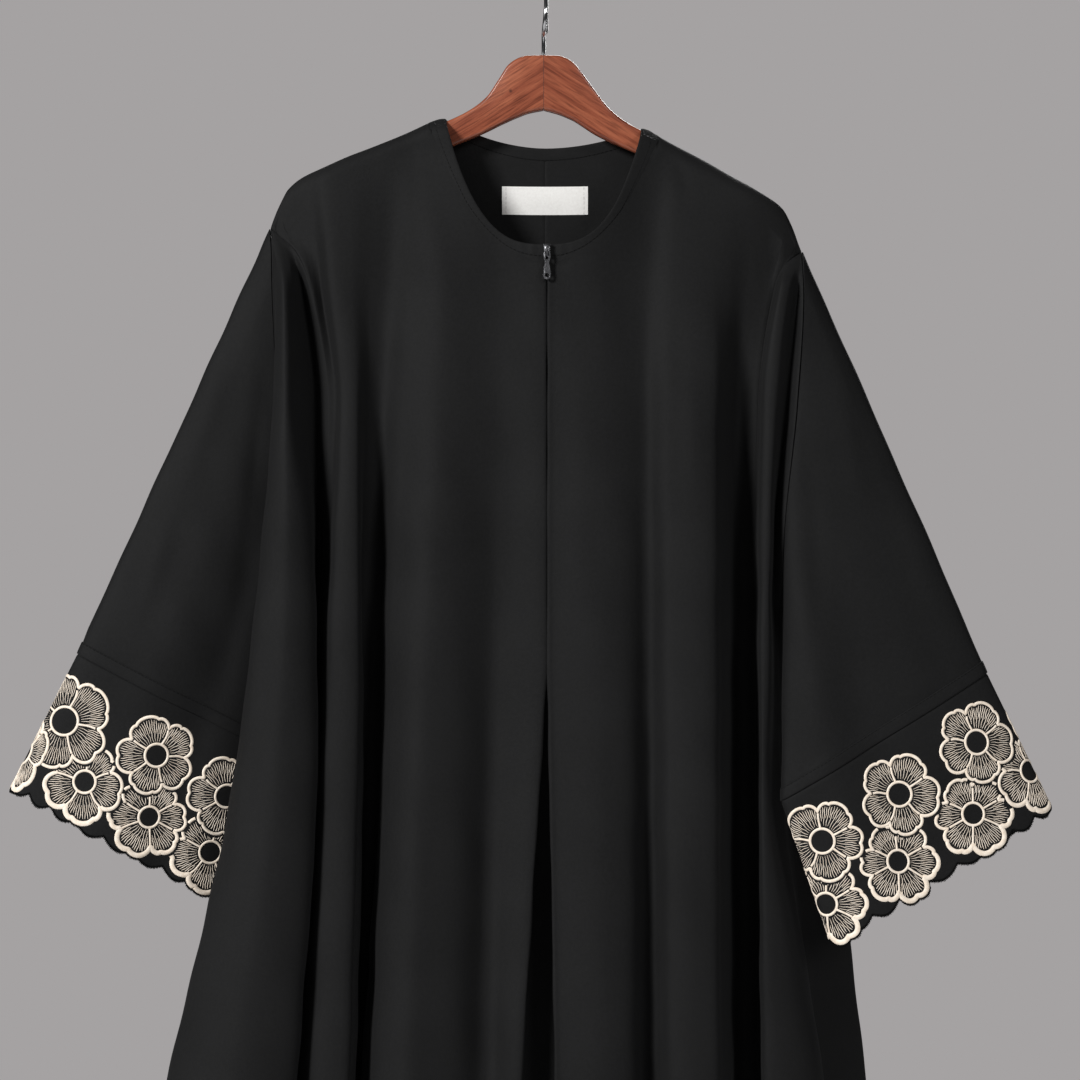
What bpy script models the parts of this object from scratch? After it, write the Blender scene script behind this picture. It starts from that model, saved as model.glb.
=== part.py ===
"""A wide-sleeved closed abaya on a wooden hanger, in metres, +Z up.

The cloth is a 1.6 mm wall. Every place on it is given by its drop below the rail, its distance
across from the middle, and how far forward of the hanger it stands, all in millimetres. Fold lines
run down the cloth from shoulder to hem; a level section is a smooth curve through them, and each
panel is the stretch of wall between two of its seams. The origin is the inner top of the hook.
"""
import math

import bmesh
import bpy
import numpy as np

MM = 0.001

# Cloth, mm
CLOTH = 1.6            # wall of the crepe
BAND_CLOTH = 2.2       # folded and stitched bands
SEAM = 0.4             # gap between two sewn pieces
ROLL = 13.0            # drop over which the cloth turns down over the hanger
TOP_STEPS = (0, 4, 12, 26)   # the first rows follow the top edge
TOP_SHARES = (0.3, 0.65)     # the next ones are shared out down to the first level row
LEVEL_ROWS = (290, 325, 360, 400, 460, 530, 577, 640, 720, 820, 940, 1080, 1240, 1400, 1530)
HEM_DROP = LEVEL_ROWS[-1]

# Front opening, mm
SLIT = 0.8             # across, where the closed zip lies
SLIT_HALF = 1.1        # from the slit to the middle of each edge's wall
ZIP_END = 640.0        # drop where the zip ends and the inverted pleat opens
PLEAT_SPREAD = {"left": 0.060, "right": 0.018}   # how fast each pleat edge runs outward, mm per mm
FOLD_IN_ZIP = (1.0, 7.0)      # outward and back, the turned-in edge beside the zip
FOLD_IN_PLEAT = (19.0, 24.0)  # the same beside the pleat, at the hem
EDGE_FACE = 5.0        # flat pressed width beside the edge

# Neck, mm: half width at the shoulder, drop at the middle, and the two powers of its curve,
# for the free edge and for the seam where the band meets the panel
NECK_EDGE = {
    "front": {"left": (96, 240, 2.8, 0.85), "right": (91.5, 240, 2.9, 0.85)},
    "back": {"left": (96, 142, 1.9, 0.9), "right": (91.5, 142, 1.9, 0.9)},
}
NECK_SEAM = {
    "front": {"left": (113, 252, 2.3, 1.0), "right": (108.5, 252, 2.3, 1.0)},
    "back": {"left": (108, 154, 1.9, 1.0), "right": (103.5, 154, 1.9, 1.0)},
}
NECK_GAP = 1.0         # from the band to the panels, which turn over the shoulder beside it

# Shoulder outline, mm: (across, drop) from the neck to the top of the armhole
SHOULDER = {
    "left": ((-98, 114), (-140, 132), (-228, 170), (-247, 184), (-254, 197), (-264, 222)),
    "right": ((92, 123), (105, 131), (171, 168), (211, 190), (227, 202), (236, 219), (245, 244)),
}

# Fold lines of the front, mm. Columns are the drops in LEVELS: first across, then forward.
LEVELS = (150, 280, 390, 540, 720, 1030, 1530)
FRONT_FOLDS = {
    "left": (
        # soft valley, main ridge, its flank, deep valley (2), narrow fold (2), armhole crease
        ((-44, -44, -44, -47, -53, -64, -90), (30, 37, 46, 50, 54, 60, 62)),
        ((-113, -101, -104, -111, -120, -132, -166), (18, 42, 52, 64, 74, 86, 95)),
        ((-129, -127, -133, -145, -152, -174, -206), (15, 32, 40, 42, 46, 50, 55)),
        ((-144, -149, -155, -163, -165, -172, -205), (14, 22, 26, 20, 17, 18, 22)),
        ((-162, -166, -168, -175, -176, -184, -217), (14, 24, 28, 25, 23, 24, 28)),
        ((-187, -185, -180, -178, -175, -182, -214), (14, 32, 44, 56, 64, 76, 88)),
        ((-214, -204, -193, -198, -205, -218, -256), (14, 31, 43, 55, 62, 74, 86)),
        ((-230, -215, -200, -206, -220, -240, -279), (9, 18, 34, 34, 30, 30, 34)),
    ),
    "right": (
        # soft ridge, soft valley, broad ridge (2), deep valley
        ((49, 50, 51, 52, 52, 54, 67), (34, 44, 56, 66, 74, 84, 92)),
        ((108.5, 96, 94, 96, 97, 99, 118), (16, 34, 46, 54, 58, 62, 66)),
        ((127, 119, 116, 116, 117, 119, 143), (16, 40, 56, 68, 76, 86, 98)),
        ((158, 157, 158, 159, 160, 161, 189), (15, 38, 56, 68, 76, 86, 98)),
        ((201, 193, 182, 182, 183, 186, 219), (15, 22, 24, 18, 14, 12, 16)),
    ),
}
FRONT_EDGE_FORWARD = (34, 42, 50, 58, 65, 74, 80)

# Lines that fan out from the top of the armhole, mm. Columns are LEVELS from the second on.
SIDE_FOLDS = {
    "left": (
        # panel seam, side valley, gore's right edge, its crest, its left edge, side line
        ((-224, -208, -213, -231, -255, -295), (26, 32, 24, 16, 16, 20)),
        ((-232, -219, -220, -239, -266, -306), (14, 15, 16, 12, 12, 16)),
        ((-241, -234, -221, -216, -234, -271), (36, 46, 58, 68, 82, 94)),
        ((-248, -245, -243, -251, -292, -366), (44, 60, 72, 85, 98, 112)),
        ((-255, -258, -270, -290, -357, -470), (35, 45, 52, 57, 54, 50)),
        ((-261, -256, -252, -256, -335, -437), (4, 4, 3, -2, -8, -10)),
    ),
    "right": (
        # panel seam, gore's left edge, its crest, its outer edge, side line
        ((217, 202, 199, 200, 203, 238), (20, 23, 18, 14, 12, 16)),
        ((223, 207, 204, 204, 207, 243), (34, 41, 46, 50, 58, 70)),
        ((230, 216, 210, 209, 239, 280), (32, 43, 48, 48, 56, 70)),
        ((240, 229, 216, 220, 262, 317), (18, 24, 23, 20, 34, 46)),
        ((245, 238, 225, 230, 262, 314), (12, 22, 24, -8, -12, -14)),
    ),
}

# Fold lines of the back, mm. Columns are BACK_LEVELS: first across, then backward.
BACK_LEVELS = (150, 280, 540, 870, 1530)
BACK_FOLDS = {
    "left": (
        # side ridge, outer valley, ridge, inner valley, inner ridge
        ((-246, -257, -258, -285, -428), (13, 26, 42, 55, 68)),
        ((-208, -194, -201, -227, -299), (15, 20, 26, 28, 30)),
        ((-146, -146, -154, -174, -222), (16, 30, 46, 60, 77)),
        ((-108, -95, -96, -107, -133), (16, 24, 28, 30, 32)),
        ((-44, -40, -45, -51, -68), (19, 30, 42, 54, 71)),
    ),
    "right": (
        ((228, 241, 254, 292, 368), (12, 20, 35, 52, 66)),
        ((185, 178, 186, 207, 272), (15, 20, 26, 28, 30)),
        ((129, 132, 140, 159, 204), (16, 30, 46, 60, 77)),
        ((103.5, 90, 92, 103, 129), (16, 24, 28, 30, 32)),
        ((42, 39, 43, 51, 68), (19, 30, 42, 54, 71)),
    ),
}
FAN_FORWARD = 10.0     # how far the fan stands forward before its folds deepen
CENTRE_BACK = ((-1, -1, -1, -1, -1), (20, 30, 36, 38, 40))

# Columns of wall between neighbouring fold lines
FRONT_STEPS = {"left": (1, 1, 3, 6, 2, 2, 1, 2, 2, 1, 1), "right": (1, 1, 4, 6, 2, 2, 3, 1)}
GORE_STEPS = {"left": (1, 2, 2, 2, 2), "right": (2, 2, 2, 2)}
BACK_STEPS = (3, 3, 3, 3, 4, 4)
GORE_FIRST_ROW = 2     # the gore is too narrow to sew above this row
NECK_CROWDING = 1.5    # how much finer the columns grow towards the neck's shoulder ends
# The fold lines that reach the shoulder end of the neck band: from the opening, and from the side
NECK_LINE_FRONT = 4
NECK_LINE_BACK = 4

# Sleeves and cuffs, mm: (across, drop, forward) at the ends of each flattened ring
ARMHOLE_HALF = 16.0    # half the armhole's gap at its middle
ARMHOLE_END = 577.0    # drop of the underarm
UNDERARM_CLEAR = 14.0  # the sleeve's cut edge ends this much above it
SLEEVE = {
    "left": {
        "seam": ((-447, 629, 14), (-273, 718, -8)),
        "hem": ((-511, 758, 18), (-306, 873, -12)),
        "half_depth": (16.0, 22.0, 25.0),   # at the armhole, the cuff seam and the hem
    },
    "right": {
        "seam": ((419, 647, 24), (222, 766, 54)),
        "hem": ((483, 778, 22), (268, 900, 62)),
        "half_depth": (16.0, 20.0, 23.0),
    },
}
# Long soft folds of the sleeves: (place from outer to inner edge, width, height forward)
SLEEVE_FOLDS = {
    "left": ((0.42, 0.16, 5.0), (0.70, 0.10, -5.0)),
    "right": ((0.80, 0.12, 6.0), (0.55, 0.14, -5.0)),
}
SLEEVE_COLUMNS = 30
SLEEVE_ROWS = 6
ARMHOLE_STEP = 3.2     # outward, from the armhole line to the sleeve's cut edge
CUFF_BAND = 12.5       # stitched strip above the cuff seam
SCALLOPS = 18          # lobes round one cuff
SCALLOP_COLUMNS = 4
SCALLOP_HEIGHT = 7.0
CUFF_ROWS = 3

# Small pieces, mm
LABEL = (-42.5, 40.5, 178.5, 205.5)   # left, right, top and bottom
LABEL_CLOTH = 1.0
LABEL_CLEAR = 0.7      # from the back's inner face to the label's outer one
ZIP_TAPE_HALF = 12.0
TAPE_BEHIND = 3.2      # from the turned-in edges to the middle of the zip tape's wall
TAPE_TOP = 246.0
TAPE_PITCH = 32.6      # between the tape's rows
TAPE_ROWS = 13
UNDERLAY_BEHIND = 3.0  # from the turned-in pleat edges to the middle of the underlay's wall
UNDERLAY_OVERLAP = 10.0
UNDERLAY_BOW = 4.0     # backward, at its middle
UNDERLAY_ROWS = 14

# Zip slider and its pull, mm
SLIDER_DROP = (240.0, 252.0)
SLIDER_HALF = (3.4, 2.45)   # half width at its top and bottom
SLIDER_BACK = 43.6     # forward of the hanger, just clear of the bands
SLIDER_THICK = 2.6
BAIL_HALF = 1.0        # half the width of the arch that holds the pull
BAIL_HIGH = 3.2        # half the arch's height
BAIL_RISE = 3.0        # from the slider's face to the arch's front
BAIL_WIRE = 1.0        # thickness of the arch
PULL_AXIS_DROP = 247.5
# The pull from its top bar down: (half width, distance below the axis)
PULL_SIDE = ((2.3, -0.55), (3.2, 2.0), (3.2, 6.6), (2.0, 9.8), (2.0, 11.6), (3.0, 16.5), (3.6, 21.5))
PULL_LENGTH = 26.4
PULL_THICK = 1.3
PULL_EYE = (1.6, 0.55, 7.8)    # half width, top and bottom of the eye that goes round the arch
PULL_HOLE = (2.0, 22.4)        # radius and distance below the axis of the round hole
CUT_REACH = 2.0        # how far a cutter stands out past both faces

# Hanger, mm: (across, top drop, bottom drop) from the middle to the tip
HANGER_MIDDLE = -2.3
HANGER_HALF_THICK = {"middle": 6.8, "arm": 5.4}
HANGER_MIDDLE_HALF = 60.0   # across, where the thick middle has thinned to the arm
HANGER_FLAT = 0.6      # the least that stays flat on each face, between its rounded edges
HANGER_ROUND = 0.4     # the most of the height that a rounded edge takes
HANGER_ROWS = {
    "left": ((-2.6, 55.5, 108), (-19, 56, 112), (-27, 59, 115), (-34, 67, 118), (-43, 79, 122),
             (-57, 95, 129), (-73, 107.5, 136), (-93, 117.5, 144), (-140, 135.5, 160),
             (-190, 157, 179), (-220, 172, 190), (-227, 178, 186)),
    "right": ((-2.0, 55.5, 108), (14, 56, 112.5), (22, 58.5, 116), (30, 66, 120), (40, 79, 127),
              (54, 98, 135), (71, 115, 143), (92, 127.5, 152), (131, 148.5, 170),
              (171, 171.5, 189), (196, 187, 202), (203, 193, 198)),
}
HOOK_WIRE = 4.0
HOOK_INNER = 18.0      # inner radius
HOOK_STEM = (55.0, 47.0)    # drops of the stem's foot, inside the wood, and of its upper end
HOOK_TURN = (255, -46, -15)   # degrees round the hook: the stem's end, past the open end, step

MATERIALS = {
    # name: base colour, metallic, roughness
    "crepe": ((0.012, 0.012, 0.013), 0.0, 0.85),
    "satin": ((0.85, 0.84, 0.81), 0.0, 0.45),
    "dark_metal": ((0.06, 0.06, 0.065), 1.0, 0.35),
    "walnut": ((0.16, 0.045, 0.022), 0.0, 0.35),
    "steel": ((0.75, 0.75, 0.76), 1.0, 0.18),
}
OUTWARD = {"left": -1.0, "right": 1.0}


# ---------------------------------------------------------------- curves

def smooth_through(knots, values):
    """A smooth function through the values, without overshoot, held level past both ends."""
    knots = np.asarray(knots, float)
    values = np.asarray(values, float)
    steps = np.diff(knots)
    rises = np.diff(values) / steps
    slopes = np.empty(len(knots))
    slopes[0], slopes[-1] = rises[0], rises[-1]
    for i in range(1, len(knots) - 1):
        before, after = rises[i - 1], rises[i]
        slopes[i] = 2 * before * after / (before + after) if before * after > 0 else 0.0

    def at(place):
        place = min(max(place, knots[0]), knots[-1])
        i = min(int(np.searchsorted(knots, place, side="right")) - 1, len(steps) - 1)
        h = steps[i]
        t = (place - knots[i]) / h
        return (values[i] * (1 + 2 * t) * (1 - t) ** 2 + slopes[i] * h * t * (1 - t) ** 2
                + values[i + 1] * t * t * (3 - 2 * t) + slopes[i + 1] * h * t * t * (t - 1))
    return at


def curve_through(points, u):
    """The point at u, counted in points, on a centripetal curve through flat points."""
    i = min(max(int(math.floor(u)), 0), len(points) - 2)
    p1, p2 = points[i], points[i + 1]
    p0 = points[i - 1] if i > 0 else 2 * p1 - p2
    p3 = points[i + 2] if i + 2 < len(points) else 2 * p2 - p1
    t0 = 0.0
    t1 = t0 + max(np.linalg.norm(p1 - p0), 1e-4) ** 0.5
    t2 = t1 + max(np.linalg.norm(p2 - p1), 1e-4) ** 0.5
    t3 = t2 + max(np.linalg.norm(p3 - p2), 1e-4) ** 0.5
    t = t1 + (u - i) * (t2 - t1)
    a1 = (t1 - t) / (t1 - t0) * p0 + (t - t0) / (t1 - t0) * p1
    a2 = (t2 - t) / (t2 - t1) * p1 + (t - t1) / (t2 - t1) * p2
    a3 = (t3 - t) / (t3 - t2) * p2 + (t - t2) / (t3 - t2) * p3
    b1 = (t2 - t) / (t2 - t0) * a1 + (t - t0) / (t2 - t0) * a2
    b2 = (t3 - t) / (t3 - t1) * a2 + (t - t1) / (t3 - t1) * a3
    return (t2 - t) / (t2 - t1) * b1 + (t - t1) / (t2 - t1) * b2


def neckline_drop(across, half, top, bottom, flatness, steepness):
    """Drop of a neckline: a rounded curve from the shoulder point down to the middle."""
    reach = min(abs(across) / half, 1.0)
    return top + (bottom - top) * (1 - reach ** flatness) ** steepness


# ---------------------------------------------------------------- the garment's surface

class Half:
    """One half of the body: its fold lines from the front opening round to the centre back."""

    def __init__(self, side):
        self.side = side
        self.out = OUTWARD[side]
        points = SHOULDER[side]
        self.arm_top = points[-1][1]
        self.arm_across = points[-1][0]
        self.shoulder = smooth_through([abs(p[0]) for p in points], [p[1] for p in points])
        self.neck_slope = (points[1][1] - points[0][1]) / abs(points[1][0] - points[0][0])
        self.edge_forward = smooth_through(LEVELS, FRONT_EDGE_FORWARD)
        front = [self.level_line(LEVELS, row) for row in FRONT_FOLDS[side]]
        *fan_rows, side_row = SIDE_FOLDS[side]
        side_lines = [self.fan_line(row, FAN_FORWARD + 0.1 * row[1][0]) for row in fan_rows]
        self.side_line = self.fan_line(side_row, 0.5 * side_row[1][0])
        back = [self.level_line(BACK_LEVELS, row, -1) for row in BACK_FOLDS[side]]
        back.append(self.level_line(BACK_LEVELS, CENTRE_BACK, -1))
        self.before_side = front + side_lines
        self.after_side = back
        self.seam_u = 3 + len(front)
        self.side_u = 3 + len(self.before_side)
        self.centre_u = self.side_u + len(back)

    def level_line(self, levels, row, facing=1):
        return (smooth_through(levels, row[0]), smooth_through(levels, [facing * v for v in row[1]]))

    def fan_line(self, row, early_forward):
        """A line that starts at the top of the armhole and spreads within a hand's width."""
        early = self.arm_top + 0.4 * (LEVELS[1] - self.arm_top)
        knots = (self.arm_top, early) + LEVELS[1:]
        across = (self.arm_across, self.arm_across + 0.64 * (row[0][0] - self.arm_across)) + row[0]
        forward = (0.0, early_forward) + row[1]
        return smooth_through(knots, across), smooth_through(knots, forward)

    def shoulder_drop(self, across):
        """Drop of the shoulder line, carried on inward over the neck."""
        first = abs(SHOULDER[self.side][0][0])
        if abs(across) < first:
            return self.shoulder(first) - (first - abs(across)) * self.neck_slope
        return self.shoulder(abs(across))

    def roll(self, across, drop):
        """0 on the shoulder seam, rising to 1 where the cloth hangs clear of the hanger's top."""
        slope = (self.shoulder_drop(across + self.out) - self.shoulder_drop(across - self.out)) / 2
        below = (drop - self.shoulder_drop(across)) / math.hypot(1, slope)
        short = 1 - min(max(below / ROLL, 0.0), 1.0)
        return math.sqrt(1 - short * short)

    def armhole_half(self, drop):
        t = (drop - self.arm_top) / (ARMHOLE_END - self.arm_top)
        return ARMHOLE_HALF * 2 * math.sqrt(t * (1 - t)) if 0 < t < 1 else 0.0

    def front_edge(self, drop):
        """Three lines of the pressed front edge: turned-in cloth, edge, and the face beside it."""
        below = max(drop - ZIP_END, 0.0)
        edge = SLIT + self.out * (SLIT_HALF + below * PLEAT_SPREAD[self.side])
        forward = self.edge_forward(drop)
        share = min(below / 250.0, 1.0)
        share = share * share * (3 - 2 * share)
        inward = [a + (b - a) * share for a, b in zip(FOLD_IN_ZIP, FOLD_IN_PLEAT)]
        return [(edge + self.out * inward[0], forward - inward[1]), (edge, forward),
                (edge + self.out * EDGE_FACE, forward + 0.5)]

    def section(self, drop, behind):
        """Control points of the level section; behind picks the back branch of the armhole."""
        points = self.front_edge(drop)
        points += [(across(drop), forward(drop)) for across, forward in self.before_side]
        gap = self.armhole_half(drop)
        side_across, side_forward = self.side_line
        points.append((side_across(drop), side_forward(drop) + (-gap if behind else gap)))
        points += [(across(drop), forward(drop)) for across, forward in self.after_side]
        points.append((2 * points[-1][0] - points[-2][0], points[-2][1]))
        points = np.array(points)
        # Above the underarm the cloth runs on into the sleeve, and not round the side.
        share = min(gap / (ARMHOLE_HALF / 2), 1.0)
        beyond = self.side_u + (-1 if behind else 1)
        into_sleeve = points[self.side_u] + np.array((self.out * ARMHOLE_HALF, 0.0))
        points[beyond] += (into_sleeve - points[beyond]) * share
        return points

    def flat_point(self, u, drop, behind):
        return curve_through(self.section(drop, behind), u)

    def point(self, u, drop, behind):
        across, forward = self.flat_point(u, drop, behind)
        return np.array((across, -forward * self.roll(across, drop), -drop))

    def top_drop(self, across, behind):
        """Top edge of the panels: the neck band's lower edge, then the shoulder seam."""
        width, bottom, *powers = NECK_SEAM["back" if behind else "front"][self.side]
        if abs(across) < width:
            return neckline_drop(across, width, self.shoulder_drop(self.out * width), bottom, *powers)
        return self.shoulder_drop(across)

    def column_top(self, u, behind):
        """Drop at which column u of the surface meets the top edge."""
        high, low = 100.0, 330.0
        for _ in range(32):
            drop = (high + low) / 2
            if drop < self.top_drop(self.flat_point(u, drop, behind)[0], behind):
                high = drop
            else:
                low = drop
        return (high + low) / 2

    def surface_at(self, across, drop, behind):
        """The point of the front or back that stands at this place across, near the neck."""
        first, last = (self.side_u + 1, self.centre_u) if behind else (1, self.seam_u - 2)
        samples = np.linspace(first, last, 60)
        section = self.section(drop, behind)
        flat = np.array([curve_through(section, u) for u in samples])
        order = np.argsort(flat[:, 0])
        forward = float(np.interp(across, flat[order, 0], flat[order, 1]))
        return np.array((across, -forward * self.roll(across, drop), -drop))


# ---------------------------------------------------------------- solids

def material(name):
    made = bpy.data.materials.get(name)
    if made is None:
        colour, metallic, roughness = MATERIALS[name]
        made = bpy.data.materials.new(name)
        made.use_nodes = True
        shader = made.node_tree.nodes["Principled BSDF"]
        shader.inputs["Base Color"].default_value = (*colour, 1)
        shader.inputs["Metallic"].default_value = metallic
        shader.inputs["Roughness"].default_value = roughness
    return made


def add_object(name, vertices, faces, finish):
    """An object from points in millimetres and faces in any winding."""
    mesh = bpy.data.meshes.new(name)
    mesh.from_pydata([tuple(float(c) * MM for c in v) for v in vertices], [], faces)
    work = bmesh.new()
    work.from_mesh(mesh)
    bmesh.ops.recalc_face_normals(work, faces=work.faces)
    work.to_mesh(mesh)
    work.free()
    mesh.shade_smooth()
    mesh.set_sharp_from_angle(angle=math.radians(50))
    mesh.materials.append(material(finish))
    made = bpy.data.objects.new(name, mesh)
    bpy.context.collection.objects.link(made)
    return made


def row_tangents(points, closed):
    """Directions along the first index of a grid of points."""
    if closed:
        return np.roll(points, -1, 0) - np.roll(points, 1, 0)
    ahead = np.concatenate((points[1:], points[-1:]))
    behind = np.concatenate((points[:1], points[:-1]))
    return ahead - behind


def wall(name, points, normals, thickness, finish, closed=False):
    """A wall of even thickness on a grid [column][row]; closed joins the last column to the first.

    Both faces are cut along the same diagonals, the shorter ones, so that they stay level.
    """
    columns, rows = points.shape[:2]
    half = normals * (thickness / 2)
    vertices = np.concatenate(((points + half).reshape(-1, 3), (points - half).reshape(-1, 3)))
    inner = columns * rows
    flat = points.reshape(-1, 3)

    def corner(column, row):
        return (column % columns) * rows + row

    faces = []
    last = columns if closed else columns - 1
    for column in range(last):
        for row in range(rows - 1):
            quad = [corner(column, row), corner(column + 1, row),
                    corner(column + 1, row + 1), corner(column, row + 1)]
            middle = flat[quad]
            if np.linalg.norm(middle[0] - middle[2]) > np.linalg.norm(middle[1] - middle[3]):
                quad = quad[1:] + quad[:1]
            for triangle in (quad[:3], [quad[0], quad[2], quad[3]]):
                faces.append(triangle)
                faces.append([inner + v for v in reversed(triangle)])
        for row in (0, rows - 1):
            a, b = corner(column, row), corner(column + 1, row)
            faces.append([a, b, inner + b, inner + a])
    if not closed:
        for column in (0, columns - 1):
            for row in range(rows - 1):
                a, b = corner(column, row), corner(column, row + 1)
                faces.append([a, b, inner + b, inner + a])
    return add_object(name, vertices, faces, finish)


def unit(vectors):
    return vectors / np.maximum(np.linalg.norm(vectors, axis=-1, keepdims=True), 1e-9)


def columns_between(first, steps, crowd_at=None):
    """Places along the section: each gap between fold lines is cut into its number of steps.

    The steps next to the line crowd_at grow finer towards it, because the neckline is steep there.
    """
    places = [float(first)]
    for i, count in enumerate(steps):
        for j in range(count):
            share = (j + 1) / count
            if crowd_at == first + i + 1:
                share = 1 - (1 - share) ** NECK_CROWDING
            elif crowd_at == first + i:
                share = share ** NECK_CROWDING
            places.append(first + i + share)
    return places


def row_drops(start):
    """Drops of the rows of a column whose top edge is at start."""
    near = [start + step for step in TOP_STEPS]
    shared = [near[-1] + (LEVEL_ROWS[0] - near[-1]) * share for share in TOP_SHARES]
    return near + shared + list(LEVEL_ROWS)


def front_columns(half, first, last):
    return columns_between(first, FRONT_STEPS[half.side][first:last], NECK_LINE_FRONT)


def back_columns(half, first, last):
    return columns_between(half.side_u + first, BACK_STEPS[first:last], half.side_u + NECK_LINE_BACK)


def panel(name, half, places, behind, first_row=0):
    """A body panel on its columns, from its top edge, or from a row below the armhole's top."""
    nudge = 0.03
    points, along = [], []
    for index, u in enumerate(places):
        start = half.arm_top if first_row else half.column_top(u, behind)
        drops = row_drops(start)[first_row:]
        column = np.array([half.point(u, drop, behind) for drop in drops])
        ahead = np.array([half.point(u + nudge, drop, behind) for drop in drops])
        back = np.array([half.point(u - nudge, drop, behind) for drop in drops])
        direction = unit(ahead - back)
        if index == 0:
            column = column + direction * (SEAM / 2)
        if index == len(places) - 1:
            column = column - direction * (SEAM / 2)
        points.append(column)
        along.append(direction)
    points = np.array(points)
    along = np.array(along)
    down = row_tangents(points.transpose(1, 0, 2), False).transpose(1, 0, 2)
    if not first_row:
        # On the shoulder seam the cloth lies flat over the hanger.
        for column in range(len(places)):
            over = points[column, 0]
            if half.roll(over[0], -over[2]) < 0.3:
                down[column, 0] = (0.0, -1.0 if not behind else 1.0, 0.0)
                points[column, 0, 1] += (-1 if not behind else 1) * SEAM / 2
    normals = unit(np.cross(down, along))
    return wall(name, points, normals, CLOTH, "crepe")


def neck_band(name, half, behind):
    """The faced edge of the neck, one half of the front or of the back, on the panel's columns."""
    which = "back" if behind else "front"
    width, bottom, *powers = NECK_EDGE[which][half.side]
    outer_width = NECK_SEAM[which][half.side][0]
    places = (back_columns(half, NECK_LINE_BACK, len(BACK_STEPS)) if behind
              else front_columns(half, 1, NECK_LINE_FRONT))
    shoulder_point = half.shoulder_drop(half.out * width)
    rows = 3
    points = np.zeros((len(places), rows, 3))
    for i, u in enumerate(places):
        drop = half.column_top(u, behind)
        across = half.flat_point(u, drop, behind)[0]
        inner = across * width / outer_width
        inner_drop = neckline_drop(inner, width, shoulder_point, bottom, *powers)
        for j in range(rows):
            share = (1 - NECK_GAP / (outer_width - width)) * j / (rows - 1)
            place = inner + (across - inner) * share
            points[i, j] = half.surface_at(place, inner_drop + (drop - inner_drop) * share + 0.02, behind)
    shoulder_end, facing = (0, 1) if behind else (-1, -1)
    points[shoulder_end, :, 1] += facing * SEAM / 2
    points[-1 if behind else 0, :, 0] += half.out * SEAM / 2
    along = row_tangents(points, False)
    along[shoulder_end] = (0.0, 1.0, 0.0)
    out = row_tangents(points.transpose(1, 0, 2), False).transpose(1, 0, 2)
    normals = unit(np.cross(out, along))
    return wall(name, points, normals, BAND_CLOTH, "crepe")


# ---------------------------------------------------------------- sleeves

def ring_place(turn):
    """Place from outer to inner edge, and side, for a turn from 0 to 1 round a flattened ring."""
    share = 2 * turn if turn <= 0.5 else 2 - 2 * turn
    place = 0.35 * (1 - math.cos(math.pi * share)) / 2 + 0.65 * share
    return place, (1.0 if turn <= 0.5 else -1.0)


def sleeve_fold(side, place, share):
    return sum(height * share * math.exp(-((place - middle) / width) ** 2)
               for middle, width, height in SLEEVE_FOLDS[side])


def sleeve_ring_ends(half, place):
    """Points of the armhole line, the cuff seam and the hem at one place across the sleeve."""
    drop = half.arm_top + (ARMHOLE_END - UNDERARM_CLEAR - half.arm_top) * place
    across, forward = half.side_line
    arm = np.array((across(drop) + half.out * ARMHOLE_STEP, -forward(drop), -drop))
    ends = [arm]
    for key in ("seam", "hem"):
        outer, inner = (np.array((p[0], -p[2], -p[1]), float) for p in SLEEVE[half.side][key])
        ends.append(outer + (inner - outer) * place)
    return ends


def sleeve_point(half, turn, length, of_cuff):
    """A point at a length in mm down the sleeve, or down the cuff; below 0 counts from its end."""
    place, facing = ring_place(turn)
    arm, seam, hem = sleeve_ring_ends(half, place)
    depths = SLEEVE[half.side]["half_depth"]
    start, end = (seam, hem) if of_cuff else (arm, seam)
    first, last = depths[1:] if of_cuff else depths[:2]
    whole = np.linalg.norm(end - start)
    share = (length if length >= 0 else whole + length) / whole
    deep = (first + (last - first) * share) * 2 * math.sqrt(max(place * (1 - place), 0.0))
    fold = sleeve_fold(half.side, place, 1.0 if of_cuff else min(share * 1.3, 1.0))
    point = start + (end - start) * share
    if not of_cuff:
        point[1] = start[1] + (end[1] - start[1]) * share ** 0.85
    return point + np.array((0.0, -facing * deep - fold * math.sin(math.pi * place), 0.0))


def tube(name, half, lengths_at, columns, thickness, of_cuff=False):
    """A flattened tube; lengths_at gives the rows' lengths along it at a turn and its full length."""
    points = []
    for column in range(columns):
        turn = column / columns
        place = ring_place(turn)[0]
        arm, seam, hem = sleeve_ring_ends(half, place)
        whole = np.linalg.norm(hem - seam) if of_cuff else np.linalg.norm(seam - arm)
        points.append([sleeve_point(half, turn, length, of_cuff) for length in lengths_at(turn, whole)])
    points = np.array(points)
    around = row_tangents(points, True)
    down = row_tangents(points.transpose(1, 0, 2), False).transpose(1, 0, 2)
    normals = unit(np.cross(around, down)) * half.out
    return wall(name, points, normals, thickness, "crepe", closed=True)


def sleeve_lengths(turn, whole):
    end = whole - CUFF_BAND - SEAM / 2
    return [end * (row / SLEEVE_ROWS) ** 1.2 for row in range(SLEEVE_ROWS + 1)]


def band_lengths(turn, whole):
    return [whole - CUFF_BAND + SEAM / 2, whole - CUFF_BAND / 2, whole - SEAM / 2]


def cuff_lengths(turn, whole):
    """Rows down the cuff; the last ones swell into the scalloped hem."""
    lobe = SCALLOP_HEIGHT * abs(math.sin(math.pi * turn * SCALLOPS))
    start = SEAM / 2
    rows = [start + (whole - start) * row / CUFF_ROWS for row in range(CUFF_ROWS)]
    return rows + [whole - SCALLOP_HEIGHT / 2 + lobe]


# ---------------------------------------------------------------- small pieces of the garment

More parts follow.
